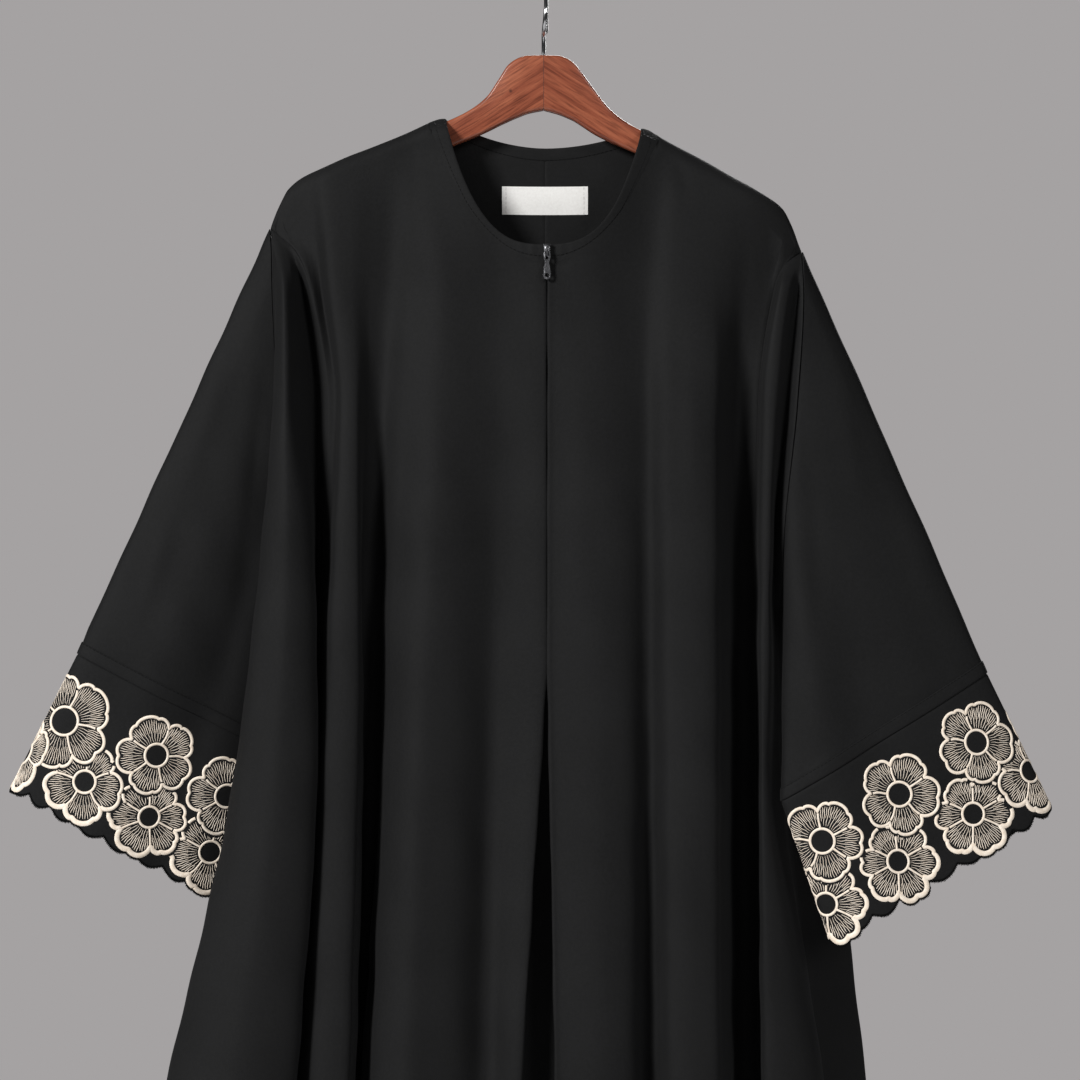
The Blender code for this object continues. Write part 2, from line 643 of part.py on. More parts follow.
def label(half_left, half_right):
    """A satin label on the inside of the back, made from the back's own points, moved in."""
    left, right, top, bottom = LABEL
    columns, rows = 9, 3
    points = np.zeros((columns, rows, 3))
    for i in range(columns):
        across = left + (right - left) * i / (columns - 1)
        half = half_left if across < CENTRE_BACK[0][0] else half_right
        for j in range(rows):
            drop = top + (bottom - top) * j / (rows - 1)
            points[i, j] = half.surface_at(across, drop, True)
    points[:, :, 1] -= CLOTH / 2 + LABEL_CLEAR + LABEL_CLOTH / 2
    normals = np.tile(np.array((0.0, 1.0, 0.0)), (columns, rows, 1))
    return wall("label", points, normals, LABEL_CLOTH, "satin")


def backing_strip(name, drops, edges, forward_at):
    """A strip of cloth behind the front edges; edges gives its sides and bow at a drop."""
    columns = 5
    points = np.zeros((columns, len(drops), 3))
    for j, drop in enumerate(drops):
        left, right, bow = edges(drop)
        for i in range(columns):
            share = i / (columns - 1)
            across = left + (right - left) * share
            points[i, j] = (across, -(forward_at(drop) + bow * math.sin(math.pi * share)), -drop)
    normals = np.tile(np.array((0.0, -1.0, 0.0)), (columns, len(drops), 1))
    return wall(name, points, normals, CLOTH, "crepe")


def zip_tape(half):
    """The tape behind the closed opening, down to the pleat."""
    def edges(drop):
        return SLIT - ZIP_TAPE_HALF, SLIT + ZIP_TAPE_HALF, 0.0

    def forward_at(drop):
        return half.edge_forward(drop) - FOLD_IN_ZIP[1] - TAPE_BEHIND

    drops = [TAPE_TOP + TAPE_PITCH * i for i in range(TAPE_ROWS)]
    return backing_strip("zip_tape", drops, edges, forward_at)


def pleat_panel(half_left, half_right):
    """The underlay of the inverted pleat, hung behind both turned-in edges."""
    def edges(drop):
        left = half_left.front_edge(drop)[0][0] - UNDERLAY_OVERLAP
        right = half_right.front_edge(drop)[0][0] + UNDERLAY_OVERLAP
        return left, right, -UNDERLAY_BOW * min((drop - ZIP_END) / 400.0, 1.0)

    def forward_at(drop):
        return half_left.front_edge(drop)[0][1] - UNDERLAY_BEHIND

    drops = np.linspace(ZIP_END + 2, HEM_DROP, UNDERLAY_ROWS)
    return backing_strip("pleat_panel", drops, edges, forward_at)


def beam(name, rows, finish):
    """A closed solid lofted through rings of points with equal counts."""
    rows = [np.array(row) for row in rows]
    count = len(rows[0])
    vertices = np.concatenate(rows)
    faces = [list(range(count)), [(len(rows) - 1) * count + i for i in reversed(range(count))]]
    for row in range(len(rows) - 1):
        for i in range(count):
            j = (i + 1) % count
            faces.append([row * count + i, row * count + j, (row + 1) * count + j, (row + 1) * count + i])
    return add_object(name, vertices, faces, finish)


# ---------------------------------------------------------------- zip slider and pull

def box_bmesh(work, low, high):
    """Adds a box between two corners, given as across, forward and drop in mm."""
    corners = [(across, -forward, -drop) for across in (low[0], high[0])
               for forward in (low[1], high[1]) for drop in (low[2], high[2])]
    verts = [work.verts.new([c * MM for c in corner]) for corner in corners]
    for face in ((0, 1, 3, 2), (4, 6, 7, 5), (0, 4, 5, 1), (2, 3, 7, 6), (0, 2, 6, 4), (1, 5, 7, 3)):
        work.faces.new([verts[i] for i in face])


def box_object(name, low, high):
    mesh = bpy.data.meshes.new(name)
    work = bmesh.new()
    box_bmesh(work, low, high)
    bmesh.ops.recalc_face_normals(work, faces=work.faces)
    work.to_mesh(mesh)
    work.free()
    made = bpy.data.objects.new(name, mesh)
    bpy.context.collection.objects.link(made)
    return made


def combine(target, cutter, operation):
    """A Boolean of two objects; the second one stays hidden as a guide."""
    modifier = target.modifiers.new(operation.title(), "BOOLEAN")
    modifier.operation = operation
    modifier.object = cutter
    cutter.hide_render = True
    cutter.display_type = "WIRE"


def plate(name, ring, back, front):
    """A flat dark metal plate from a ring of (across from the slit, drop) between two depths."""
    faces = [[(across + SLIT, -forward, -drop) for across, drop in ring] for forward in (back, front)]
    return beam(name, faces, "dark_metal")


def zip_slider():
    """A moulded body with an arch on its face, under which the pull's bar turns."""
    top, bottom = SLIDER_DROP
    wide, narrow = SLIDER_HALF
    face = SLIDER_BACK + SLIDER_THICK
    shape = [(-wide, top), (wide, top), (narrow, bottom), (-narrow, bottom)]
    body = plate("zip_slider", shape, SLIDER_BACK, face)
    arch_top = PULL_AXIS_DROP - BAIL_HIGH
    arch_bottom = PULL_AXIS_DROP + BAIL_HIGH
    arch = box_object("bail_block", (SLIT - BAIL_HALF, face - SLIDER_THICK / 5, arch_top),
                      (SLIT + BAIL_HALF, face + BAIL_RISE, arch_bottom))
    hole = box_object("bail_hole", (SLIT - BAIL_HALF - CUT_REACH, face, arch_top + BAIL_WIRE),
                      (SLIT + BAIL_HALF + CUT_REACH, face + BAIL_RISE - BAIL_WIRE, arch_bottom - BAIL_WIRE))
    combine(body, arch, "UNION")
    combine(body, hole, "DIFFERENCE")
    return body


def pull_axis_forward():
    """The pull's bar lies midway between the slider's face and the arch."""
    return SLIDER_BACK + SLIDER_THICK + (BAIL_RISE - BAIL_WIRE) / 2


def zip_pull():
    """An eye round the arch and a rounded tab with a round hole, turning on the eye's top bar."""
    forward = pull_axis_forward()
    half = PULL_THICK / 2
    right_side = [(across, PULL_AXIS_DROP + below) for across, below in PULL_SIDE]
    left_side = [(-across, drop) for across, drop in reversed(right_side)]
    radius = PULL_SIDE[-1][0]
    centre = PULL_AXIS_DROP + PULL_LENGTH - radius
    turns = [math.radians(22.5 * i) for i in range(9)]
    bottom_round = [(radius * math.cos(a), centre + radius * math.sin(a)) for a in turns]
    body = plate("zip_pull", right_side + bottom_round + left_side, forward - half, forward + half)
    eye_half, eye_top, eye_bottom = PULL_EYE
    eye = box_object("pull_eye", (SLIT - eye_half, forward - CUT_REACH, PULL_AXIS_DROP + eye_top),
                     (SLIT + eye_half, forward + CUT_REACH, PULL_AXIS_DROP + eye_bottom))
    combine(body, eye, "DIFFERENCE")
    hole_radius, hole_below = PULL_HOLE
    middle = PULL_AXIS_DROP + hole_below
    turns = [math.radians(22.5 * i) for i in range(16)]
    circle = [(hole_radius * math.cos(a), middle + hole_radius * math.sin(a)) for a in turns]
    hole = plate("pull_hole", circle, forward - CUT_REACH, forward + CUT_REACH)
    combine(body, hole, "DIFFERENCE")
    return body


# ---------------------------------------------------------------- hanger

def hanger_half(side):
    """One wooden half: rounded sections from the middle joint to the tip."""
    rows = []
    for across, top, bottom in HANGER_ROWS[side]:
        share = min(abs(across) / HANGER_MIDDLE_HALF, 1.0)
        thick = HANGER_HALF_THICK["middle"] * (1 - share) + HANGER_HALF_THICK["arm"] * share
        edge = min(thick - HANGER_FLAT, (bottom - top) * HANGER_ROUND)
        middle = (top + bottom) / 2
        ring = []
        for depth_sign, drop_sign in ((1, -1), (1, 1), (-1, 1), (-1, -1)):
            corner_drop = middle + drop_sign * ((bottom - top) / 2 - edge)
            turns = (90, 45, 0) if depth_sign * drop_sign < 0 else (0, 45, 90)
            for turn in turns:
                angle = math.radians(turn)
                y = depth_sign * (thick - edge + edge * math.cos(angle))
                ring.append((across, -y, -(corner_drop + drop_sign * edge * math.sin(angle))))
        rows.append(ring)
    return beam("hanger_" + side, rows, "walnut")


def rod(name, route, radius, finish, sides=10):
    """A round wire along a route of points."""
    route = np.array(route)
    along = unit(row_tangents(route, False))
    side = np.array((1.0, 0.0, 0.0))
    rings = []
    for point, direction in zip(route, along):
        side = unit(side - direction * np.dot(side, direction))
        other = np.cross(direction, side)
        turns = [2 * math.pi * i / sides for i in range(sides)]
        rings.append([point + radius * (math.cos(a) * side + math.sin(a) * other) for a in turns])
    return beam(name, rings, finish)


def hook():
    """A wire hook in the plane that runs front to back, open behind."""
    radius = HOOK_INNER + HOOK_WIRE / 2
    route = [(HANGER_MIDDLE, 0.0, -drop) for drop in HOOK_STEM]
    for degrees in range(*HOOK_TURN):
        angle = math.radians(degrees)
        across = HANGER_MIDDLE * max(1 - (HOOK_TURN[0] - degrees) / 90, 0.0)
        route.append((across, radius * math.cos(angle), -HOOK_INNER + radius * math.sin(angle)))
    return rod("hook", route, HOOK_WIRE / 2, "steel")


# ---------------------------------------------------------------- the whole

def clear_scene():
    for old in list(bpy.data.objects):
        bpy.data.objects.remove(old, do_unlink=True)


def build_half(side):
    half = Half(side)
    panel("front_" + side, half, front_columns(half, 0, half.seam_u), False)
    gore_columns = columns_between(half.seam_u, GORE_STEPS[side])
    panel("side_" + side, half, gore_columns, False, first_row=GORE_FIRST_ROW)
    panel("back_" + side, half, back_columns(half, 0, len(BACK_STEPS)), True)
    neck_band("neck_band_front_" + side, half, False)
    neck_band("neck_band_back_" + side, half, True)
    tube("sleeve_" + side, half, sleeve_lengths, SLEEVE_COLUMNS, CLOTH)
    tube("sleeve_band_" + side, half, band_lengths, SLEEVE_COLUMNS, BAND_CLOTH)
    tube("cuff_" + side, half, cuff_lengths, SCALLOPS * SCALLOP_COLUMNS, CLOTH, of_cuff=True)
    hanger_half(side)
    return half


def main():
    clear_scene()
    left = build_half("left")
    right = build_half("right")
    label(left, right)
    zip_tape(left)
    pleat_panel(left, right)
    zip_slider()
    zip_pull()
    hook()


main()
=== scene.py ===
"""The looks of the abaya on its wooden hanger: crepe, seams, embroidery, label, wood and metal.

All of it is in one frame with the solids: metres, +Z up, the front facing -Y, and the origin at
the inner top of the hook. Cloth is worked out in millimetres from the fold lines that the solids
follow, on finer grids, and then set at its scale in metres.
"""
import math

import bmesh
import bpy
import numpy as np
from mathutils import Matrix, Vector

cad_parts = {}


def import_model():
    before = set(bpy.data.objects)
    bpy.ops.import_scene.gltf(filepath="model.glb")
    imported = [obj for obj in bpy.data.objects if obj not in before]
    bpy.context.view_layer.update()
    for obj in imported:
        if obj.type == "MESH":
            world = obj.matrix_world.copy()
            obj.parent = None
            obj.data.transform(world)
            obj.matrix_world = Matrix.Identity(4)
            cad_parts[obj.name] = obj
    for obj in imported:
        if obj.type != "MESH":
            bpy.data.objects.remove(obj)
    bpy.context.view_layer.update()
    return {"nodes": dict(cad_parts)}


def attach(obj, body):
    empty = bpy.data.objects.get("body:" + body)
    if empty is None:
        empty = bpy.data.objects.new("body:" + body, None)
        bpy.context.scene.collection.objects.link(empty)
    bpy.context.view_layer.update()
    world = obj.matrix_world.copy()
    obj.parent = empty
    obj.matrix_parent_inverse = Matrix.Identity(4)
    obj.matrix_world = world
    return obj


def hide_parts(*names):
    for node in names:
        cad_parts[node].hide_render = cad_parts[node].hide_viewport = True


MM = 0.001

# ---------------------------------------------------------------- sizes of the cloth, mm

CLOTH = 1.2            # wall of the crepe
BAND_CLOTH = 2.2       # folded and stitched bands
ROLL = 13.0            # drop over which the cloth turns down over the hanger
HEM_DROP = 1530.0      # every drop is measured down from the origin
LOW_DROP = 1200.0      # where the fine columns are spaced
COLUMN_PITCH = 5.0     # between them there
ROW_PITCH = 11.0
TOP_DROP = 150         # about where the rows begin
TOP_BETWEEN = (100.0, 330.0)   # drops between which every column meets the top edge
TOP_ROWS = (0, 0.7, 1.6, 3, 5, 7.5, 10.5, 14, 18, 23, 29, 36, 44)    # below the top edge

SLIT = 0.8             # middle of the front opening, across
SLIT_HALF = 1.1        # from there to either edge, along the zip
ZIP_END = 640.0        # drop at which the zip ends and the pleat begins
PLEAT_SPREAD = {"left": 0.060, "right": 0.018}    # outward for each mm below that
PLEAT_EASE = 250.0     # drop over which the turned-in cloth widens
FOLD_IN_ZIP = (1.0, 7.0)       # the turned-in cloth along the zip: outward and back
FOLD_IN_PLEAT = (19.0, 24.0)   # and low on the pleat
EDGE_FACE = (5.0, 0.5)         # the pressed face beside the edge: width and rise

# Curves of the neckline: half width, drop in the middle, flatness and steepness
NECK_EDGE = {
    "front": {"left": (96, 240, 2.8, 0.85), "right": (91.5, 240, 2.9, 0.85)},
    "back": {"left": (96, 142, 1.9, 0.9), "right": (91.5, 142, 1.9, 0.9)},
}
NECK_SEAM = {
    "front": {"left": (113, 252, 2.3, 1.0), "right": (108.5, 252, 2.3, 1.0)},
    "back": {"left": (108, 154, 1.9, 1.0), "right": (103.5, 154, 1.9, 1.0)},
}
NECK_LAP = 0.4         # the band's folded edge reaches this far over the cloth
NECK_TIP = (12, 3.0)   # sharpness and drop of the band's rounding where it turns over the shoulder
NECK_ROWS = (0.0, 0.05, 0.13, 0.25, 0.4, 0.55, 0.7, 0.85, 0.95, 1.0)    # shares of its width
NECK_ROUND = (0.5, 0.85, 1.0, 1.0, 0.96, 0.9, 0.82, 0.74, 0.66, 0.5)    # its thickness there
PUCKER = (0.35, 11.0, 24.0)    # height, pitch and reach of the band's puckers by the zip
NECK_LINE = 4          # the fold line that reaches the shoulder end of the neck band

# Shoulder seam from the neck to the top of the armhole: (across, drop)
SHOULDER = {
    "left": ((-98, 114), (-140, 132), (-228, 170), (-247, 184), (-254, 197), (-264, 222)),
    "right": ((92, 123), (105, 131), (171, 168), (211, 190), (227, 202), (236, 219), (245, 244)),
}

# Fold lines of the front, mm. Columns are the drops in LEVELS: first across, then forward.
LEVELS = (150, 280, 390, 540, 720, 1030, 1530)
FRONT_FOLDS = {
    "left": (
        # soft valley, main ridge, its flank, deep valley (2), narrow fold (2), armhole crease
        ((-44, -44, -44, -47, -53, -64, -90), (30, 37, 46, 50, 54, 60, 62)),
        ((-113, -101, -104, -111, -120, -132, -166), (18, 42, 52, 64, 74, 86, 95)),
        ((-129, -127, -133, -145, -152, -174, -206), (15, 32, 40, 42, 46, 50, 55)),
        ((-144, -149, -155, -163, -165, -172, -205), (14, 22, 26, 20, 17, 18, 22)),
        ((-162, -166, -168, -175, -176, -184, -217), (14, 24, 28, 25, 23, 24, 28)),
        ((-187, -185, -180, -178, -175, -182, -214), (14, 32, 44, 56, 64, 76, 88)),
        ((-214, -204, -193, -198, -205, -218, -256), (14, 31, 43, 55, 62, 74, 86)),
        ((-230, -215, -200, -206, -220, -240, -279), (9, 18, 34, 34, 30, 30, 34)),
    ),
    "right": (
        # soft ridge, soft valley, broad ridge (2), deep valley
        ((49, 50, 51, 52, 52, 54, 67), (34, 44, 56, 66, 74, 84, 92)),
        ((108.5, 96, 94, 96, 97, 99, 118), (16, 34, 46, 54, 58, 62, 66)),
        ((127, 119, 116, 116, 117, 119, 143), (16, 40, 56, 68, 76, 86, 98)),
        ((158, 157, 158, 159, 160, 161, 189), (15, 38, 56, 68, 76, 86, 98)),
        ((201, 193, 182, 182, 183, 186, 219), (15, 22, 24, 18, 14, 12, 16)),
    ),
}
FRONT_EDGE_FORWARD = (34, 42, 50, 58, 65, 74, 80)    # at LEVELS

# Lines that fan out from the top of the armhole, mm. Columns are LEVELS from the second on.
SIDE_FOLDS = {
    "left": (
        # panel seam, side valley, gore's right edge, its crest, its left edge, side line
        ((-224, -208, -213, -231, -255, -295), (26, 32, 24, 16, 16, 20)),
        ((-232, -219, -220, -239, -266, -306), (14, 15, 16, 12, 12, 16)),
        ((-241, -234, -221, -216, -234, -271), (36, 46, 58, 68, 82, 94)),
        ((-248, -245, -243, -251, -292, -366), (44, 60, 72, 85, 98, 112)),
        ((-255, -258, -270, -290, -357, -470), (35, 45, 52, 57, 54, 50)),
        ((-261, -256, -252, -256, -335, -437), (4, 4, 3, -2, -8, -10)),
    ),
    "right": (
        # panel seam, gore's left edge, its crest, its outer edge, side line
        ((217, 202, 199, 200, 203, 238), (20, 23, 18, 14, 12, 16)),
        ((223, 207, 204, 204, 207, 243), (34, 41, 46, 50, 58, 70)),
        ((230, 216, 210, 209, 239, 280), (32, 43, 48, 48, 56, 70)),
        ((240, 229, 216, 220, 262, 317), (18, 24, 23, 20, 34, 46)),
        ((245, 238, 225, 230, 262, 314), (12, 22, 24, -8, -12, -14)),
    ),
}

# Fold lines of the back, mm. Columns are BACK_LEVELS: first across, then backward.
BACK_LEVELS = (150, 280, 540, 870, 1530)
BACK_FOLDS = {
    "left": (
        # side ridge, outer valley, ridge, inner valley, inner ridge
        ((-246, -257, -258, -285, -428), (13, 26, 42, 55, 68)),
        ((-208, -194, -201, -227, -299), (15, 20, 26, 28, 30)),
        ((-146, -146, -154, -174, -222), (16, 30, 46, 60, 77)),
        ((-108, -95, -96, -107, -133), (16, 24, 28, 30, 32)),
        ((-44, -40, -45, -51, -68), (19, 30, 42, 54, 71)),
    ),
    "right": (
        ((228, 241, 254, 292, 368), (12, 20, 35, 52, 66)),
        ((185, 178, 186, 207, 272), (15, 20, 26, 28, 30)),
        ((129, 132, 140, 159, 204), (16, 30, 46, 60, 77)),
        ((103.5, 90, 92, 103, 129), (16, 24, 28, 30, 32)),
        ((42, 39, 43, 51, 68), (19, 30, 42, 54, 71)),
    ),
}
CENTRE_BACK = ((-1, -1, -1, -1, -1), (20, 30, 36, 38, 40))
FAN_EARLY = (0.4, 0.64)        # a fan line's first spread: share of the way down, and across
FAN_FORWARD = (10.0, 0.1)      # and how far forward it is there: at least, and share of the fold's
SIDE_FORWARD = 0.5             # that share on the side line
GORE_TOP = 1.0         # the gore starts this far below the top of the armhole

ARMHOLE_HALF = 16.0    # half its width, from front to back
ARMHOLE_END = 577.0    # drop of the underarm
UNDERARM_CLEAR = 14.0  # the sleeve's inner edge starts this far above it
ARMHOLE_STEP = 1.0     # the sleeve's edge is drawn in to the armhole seam

# Sleeves: outer and inner ends (across, drop, forward) of the cuff's seam and of its hem, and
# half depths at the armhole, the seam and the hem
SLEEVE = {
    "left": {
        "seam": ((-447, 629, 14), (-273, 718, -8)),
        "hem": ((-511, 758, 18), (-306, 873, -12)),
        "half_depth": (16.0, 22.0, 25.0),
    },
    "right": {
        "seam": ((419, 647, 24), (222, 766, 54)),
        "hem": ((483, 778, 22), (268, 900, 62)),
        "half_depth": (16.0, 20.0, 23.0),
    },
}
# Folds across the sleeve: place from the outer to the inner edge, width and height
SLEEVE_FOLDS = {
    "left": ((0.42, 0.16, 5.0), (0.70, 0.10, -5.0)),
    "right": ((0.80, 0.12, 6.0), (0.55, 0.14, -5.0)),
}
SLEEVE_BOW = 0.85      # a sleeve moves forward or back with this power of the way down
FOLD_START = 1.3       # its folds reach their height at 1 / 1.3 of the way down
RING_CLOSE = 0.35      # how much closer its columns lie at the outer and inner edges
SLEEVE_COLUMNS = 132   # round the sleeve
SLEEVE_ROWS = 64
SLEEVE_CALM = (0.06, 0.03)     # shares of its length over which the relief fades at its two ends
CUFF_BAND = 12.5       # width of the stitched strip above the cuff seam
STRIP_ROWS = (0.0, 0.04, 0.12, 0.35, 0.65, 0.9, 0.97, 1.0)     # shares of its width
STRIP_ROUND = (0.45, 0.85, 1.0, 1.0, 1.0, 0.95, 0.75, 0.30)    # its thickness there
CUFF_COLUMNS = 330     # round the cuff
CUFF_ROWS = ((0.0, 0.006, 0.015), 0.035, 29)   # shares down it beside the seam, then 29 even ones
CUFF_STEP = 1e-3       # share of the cuff over which its slopes are measured
SCALLOPS = 18          # plain lobes of the hem, between the flowers
SCALLOP_HEIGHT = 7.0
LOBES_UP = 3.0         # the plain lobes lie this far above the solid's

LABEL = (-42.5, 40.5, 178.5, 205.5)    # left, right, top and bottom
LABEL_CLOTH = 0.8
LABEL_INWARD = 2.0     # from the middle of the back's wall to the middle of the label's
LABEL_GRID = (44, 16)  # columns and rows
LABEL_BULGE = (0.7, 0.35)      # how far its middle stands out and hangs down
ZIP_TAPE_HALF = 12.0
TAPE_BEHIND = 3.2      # behind the turned-in edges
TAPE_DROPS = (246.0, 637.2)
TOOTH_PITCH = 1.5
TOOTH = ((-0.35, 0.2, 1.2, 1.8), (0.6, 1.0, 0.8, 0.5), 0.9)    # places across, widths and rise
TEETH_IN = (8.0, 2.0)  # from the tape's ends to the first and the last tooth
UNDERLAY_BEHIND = 3.0  # behind the turned-in edges
UNDERLAY_OVERLAP = 10.0
UNDERLAY_BOW = (4.0, 400.0)    # how far it bows back, and the drop over which it starts to
NOTCH = (6.0, 2.6)     # half width and depth of the rounded corners of the band beside the zip

# Soft creases, given one by one: from (across, drop) to (across, drop), half width, height, mm
CREASES = {
    "front_left": (
        ((-26, 251), (-3, 264), 3.0, -1.1),
        ((-150, 200), (-190, 1500), 9.0, -7.0),
        ((-80, 380), (-104, 1800), 21.0, 8.5),
        ((-46, 420), (-66, 1760), 11.0, -6.0),
        ((-128, 240), (-136, 380), 8.0, 1.1),
        ((-30, 420), (-34, 640), 9.0, -0.9),
        ((-190, 900), (-205, 1300), 9.0, -1.2),
    ),
    "front_right": (
        ((4, 263), (26, 255), 3.0, -0.8),
        ((118, 142), (138, 198), 7.0, -1.4),
        ((186, 190), (192, 1540), 9.0, -9.0),
        ((168, 230), (172, 1500), 8.0, -5.0),
        ((212, 208), (197, 284), 3.5, 1.8),
        ((70, 300), (80, 1840), 14.0, 6.5),
        ((93, 240), (102, 1840), 8.0, -8.0),
        ((30, 330), (34, 620), 12.0, 1.3),
        ((136, 300), (139, 520), 9.0, 1.2),
        ((146, 700), (152, 1120), 12.0, -1.5),
    ),
    "side_left": (
        ((-262, 520), (-300, 900), 9.0, 1.6),
        ((-300, 960), (-372, 1400), 13.0, -1.8),
    ),
    "side_right": (
        ((214, 560), (226, 800), 7.0, 1.2),
        ((262, 1050), (290, 1440), 11.0, 1.5),
    ),
    "sleeve_left": (
        ((-300, 300), (-345, 470), 12.0, 1.6),
        ((-268, 330), (-290, 560), 9.0, -1.4),
        ((-352, 480), (-392, 610), 10.0, 1.3),
    ),
    "sleeve_right": (
        ((268, 320), (300, 500), 11.0, 1.5),
        ((246, 420), (262, 640), 10.0, -1.3),
        ((330, 460), (372, 600), 12.0, 1.4),
    ),
}
CREASE_BEND = (0.12, 2.3)      # how far a crease bends, as a share of its half width, and how often
CREASE_CALM = 0.7      # creases fade over this much of a fold's column beside the side seam
CREASE_FACING = 3.0    # and where the cloth turns away from the front, faster than its normal does
SEAM_DIP = (2.2, 0.75)         # half width and depth of the dip along a seam
SEAM_STEPS = ((0.0, 1.0), (0.4, 0.4), (1.0, 0.0))      # shares of that width and depth, outward
SEAM_REACH = 0.45      # the dip takes at most this share of the first column
BACK_GROOVE = (1.0, 0.55, 0.2)  # share of the wall's thickness left beside the centre-back seam
RIPPLE = (0.7, 90.0)   # height and width of the faint unevenness all over the cloth
RIPPLE_WAVES = 8
RIPPLE_LEAN = (1.0, 0.6, 0.45)  # how much the waves run across, forward and down

# Stitching, mm
STITCH = (3.0, 1.1, 0.55, 0.22)        # length, gap, width and rise
STITCH_ALONG = (0.0, 0.3, 2.7, 3.0)    # one stitch: places along it, in thirds
STITCH_WIDTH = (0.25, 1.0, 1.0, 0.25)  # and its width there
NECK_STITCH_IN = 11.6  # from the band's free edge
STRIP_RISE = 0.6       # how far the strip above the cuff stands out from the sleeve
CUFF_STITCH_IN = 1.2   # from the strip's upper edge, on the sleeve's side of it
HEM_STITCH_UP = 24.0

# Embroidered flowers of the cuffs, the first over the next: share of the way round from the
# outer edge, front first, share of the way down, radius, radius of the plain centre, turn, petals
FLOWERS = {
    "left": (
        (0.000, 0.740, 39.6, 9.3, -62, 5), (0.049, 0.424, 47.5, 12.2, -92, 5),
        (0.260, 0.339, 39.6, 9.7, -96, 5), (0.434, 0.375, 39.6, 9.7, -97, 5),
        (0.639, 0.352, 39.6, 9.7, -90, 5), (0.844, 0.360, 39.6, 9.7, -101, 5),
        (0.139, 0.705, 39.6, 9.3, -115, 5), (0.286, 0.712, 39.4, 8.8, -115, 6),
        (0.428, 0.735, 39.6, 9.3, -105, 5), (0.571, 0.722, 39.4, 9.0, -112, 6),
        (0.714, 0.718, 39.4, 9.3, -104, 5), (0.857, 0.726, 39.4, 9.3, -97, 5),
    ),
    "right": (
        (0.0925, 0.338, 40.0, 10.2, -105, 5), (0.272, 0.363, 40.0, 10.2, -105, 5),
        (0.446, 0.362, 40.0, 10.2, -105, 5), (0.608, 0.352, 39.2, 9.9, -98, 5),
        (0.769, 0.350, 39.2, 9.9, -110, 5), (0.931, 0.352, 39.2, 9.9, -102, 5),
        (0.016, 0.690, 40.0, 9.3, -100, 5), (0.158, 0.725, 40.0, 9.3, -118, 6),
        (0.324, 0.735, 40.0, 9.3, -118, 6), (0.480, 0.742, 39.6, 9.3, -118, 6),
        (0.614, 0.728, 39.0, 9.3, -112, 5), (0.748, 0.730, 39.0, 9.3, -120, 6),
        (0.882, 0.727, 39.4, 9.3, -110, 5),
    ),
}
LOWER_SHARE = 0.6      # flowers below this share of the cuff shape its hem
NOTCH_DEPTH = 0.71     # radius at the notch between two petals, as a share of the flower's
DROOP = 0.065          # how much longer the lower flowers' petals are towards the hem
PETAL_CHANCE = 0.11    # how far the line between two petals may turn, in radians
LOBE = (0.46, 0.73, 0.27)      # end of a petal's middle lobe, and a side lobe's middle and half width
SWELL = (2.4, 0.55)    # flatness and steepness of a petal's rise from its notches
LOBES = (0.27, 0.8, 0.7)       # the lobes' share of that rise, a side lobe's height, two lobes' roundness
OUTLINE = (3.2, 0.75)  # width and rise of the satin-stitched outline
HEM_OUTLINE = 2.2      # how much wider the lower flowers' outline is towards the hem
DIVIDER = (2.4, 0.6)   # width and rise of the lines between two petals
RING = (2.7, 0.7)      # and of the ring round the plain centre
STROKE = (0.82, 0.38)  # and of the filling threads
DIVIDER_BEND = (0.05, 0.15)    # how far a divider bends, in radians, and how much thinner its middle is
DIVIDER_LAP = 0.7      # its ends lie at this share of the width of the ring and of the outline
STROKE_TAPER = (0.4, 0.72, 0.82, 0.92, 1.0, 0.5)       # a filling thread's width, outward
STROKE_PITCH = (2.35, 0.86)    # between the filling threads, at this share of the flower's radius
STROKE_CLEAR = (0.9, 0.7)      # left free by the outline and the ring, and by the dividers
STROKE_SHORT = 0.40    # where every second one starts, as a share of the petal's length
STROKE_CHANCE = ((-0.03, 0.05), 1.4)   # chance in where they start, as such a share, and end, mm
STROKE_WAVE = (0.34, 0.62)     # how far they wander to the side, mm, and radians for each mm outward
STROKE_LEAST = 2.0     # the shortest that is laid
HEM_EDGE = 1.3         # cloth that stands out past the flowers' outline
EDGE_PITCH = 1.5       # between the threads that bind the hem's edge
EDGE_THREAD = ((0.9, 1.2, 1.0, 0.45), 0.45)    # their widths, from the cloth outward, and rise
EDGE_STEPS = (-2.2, -0.8, 0.3, 1.0)    # their places: above the edge, mm, and shares of their reach
EDGE_REACH = (1.0, 2.3, 0.6)   # least and greatest length past the edge, mm, and the share that is reach

# Hanger, mm; its rows are (across, top drop, bottom drop) from the middle to the tip
HANGER_HALF_THICK = (6.8, 5.4)         # in the middle and along the arm
HANGER_MIDDLE_HALF = 60.0      # from the joint to where the arm's thickness begins
HANGER_ROUND = (4.2, 0.42)     # radius of its rounded edges, and the most of its height they take
HANGER_JOINT = 0.6     # its halves are this much smaller all round on the face of the joint
HANGER_ROWS = {
    "left": ((-2.33, 55.2, 108), (-17, 55.5, 111), (-25, 57.2, 114), (-31, 60.2, 116.5), (-36.5, 64.6, 119),
             (-45, 77.5, 123), (-57, 95, 129), (-73, 107.5, 136), (-93, 117.5, 144), (-140, 135.5, 160),
             (-190, 157, 179), (-220, 172, 190), (-227, 178, 186)),
    "right": ((-2.27, 55.2, 108), (12, 55.6, 112), (20, 58.2, 115.2), (27, 62.8, 118.5), (35.5, 73.2, 124),
              (47, 89, 131.5), (61, 106.5, 138.5), (77, 119.2, 145.5), (92, 127.5, 152), (131, 148.5, 170),
              (171, 171.5, 189), (196, 187, 202), (203, 193, 198)),
}
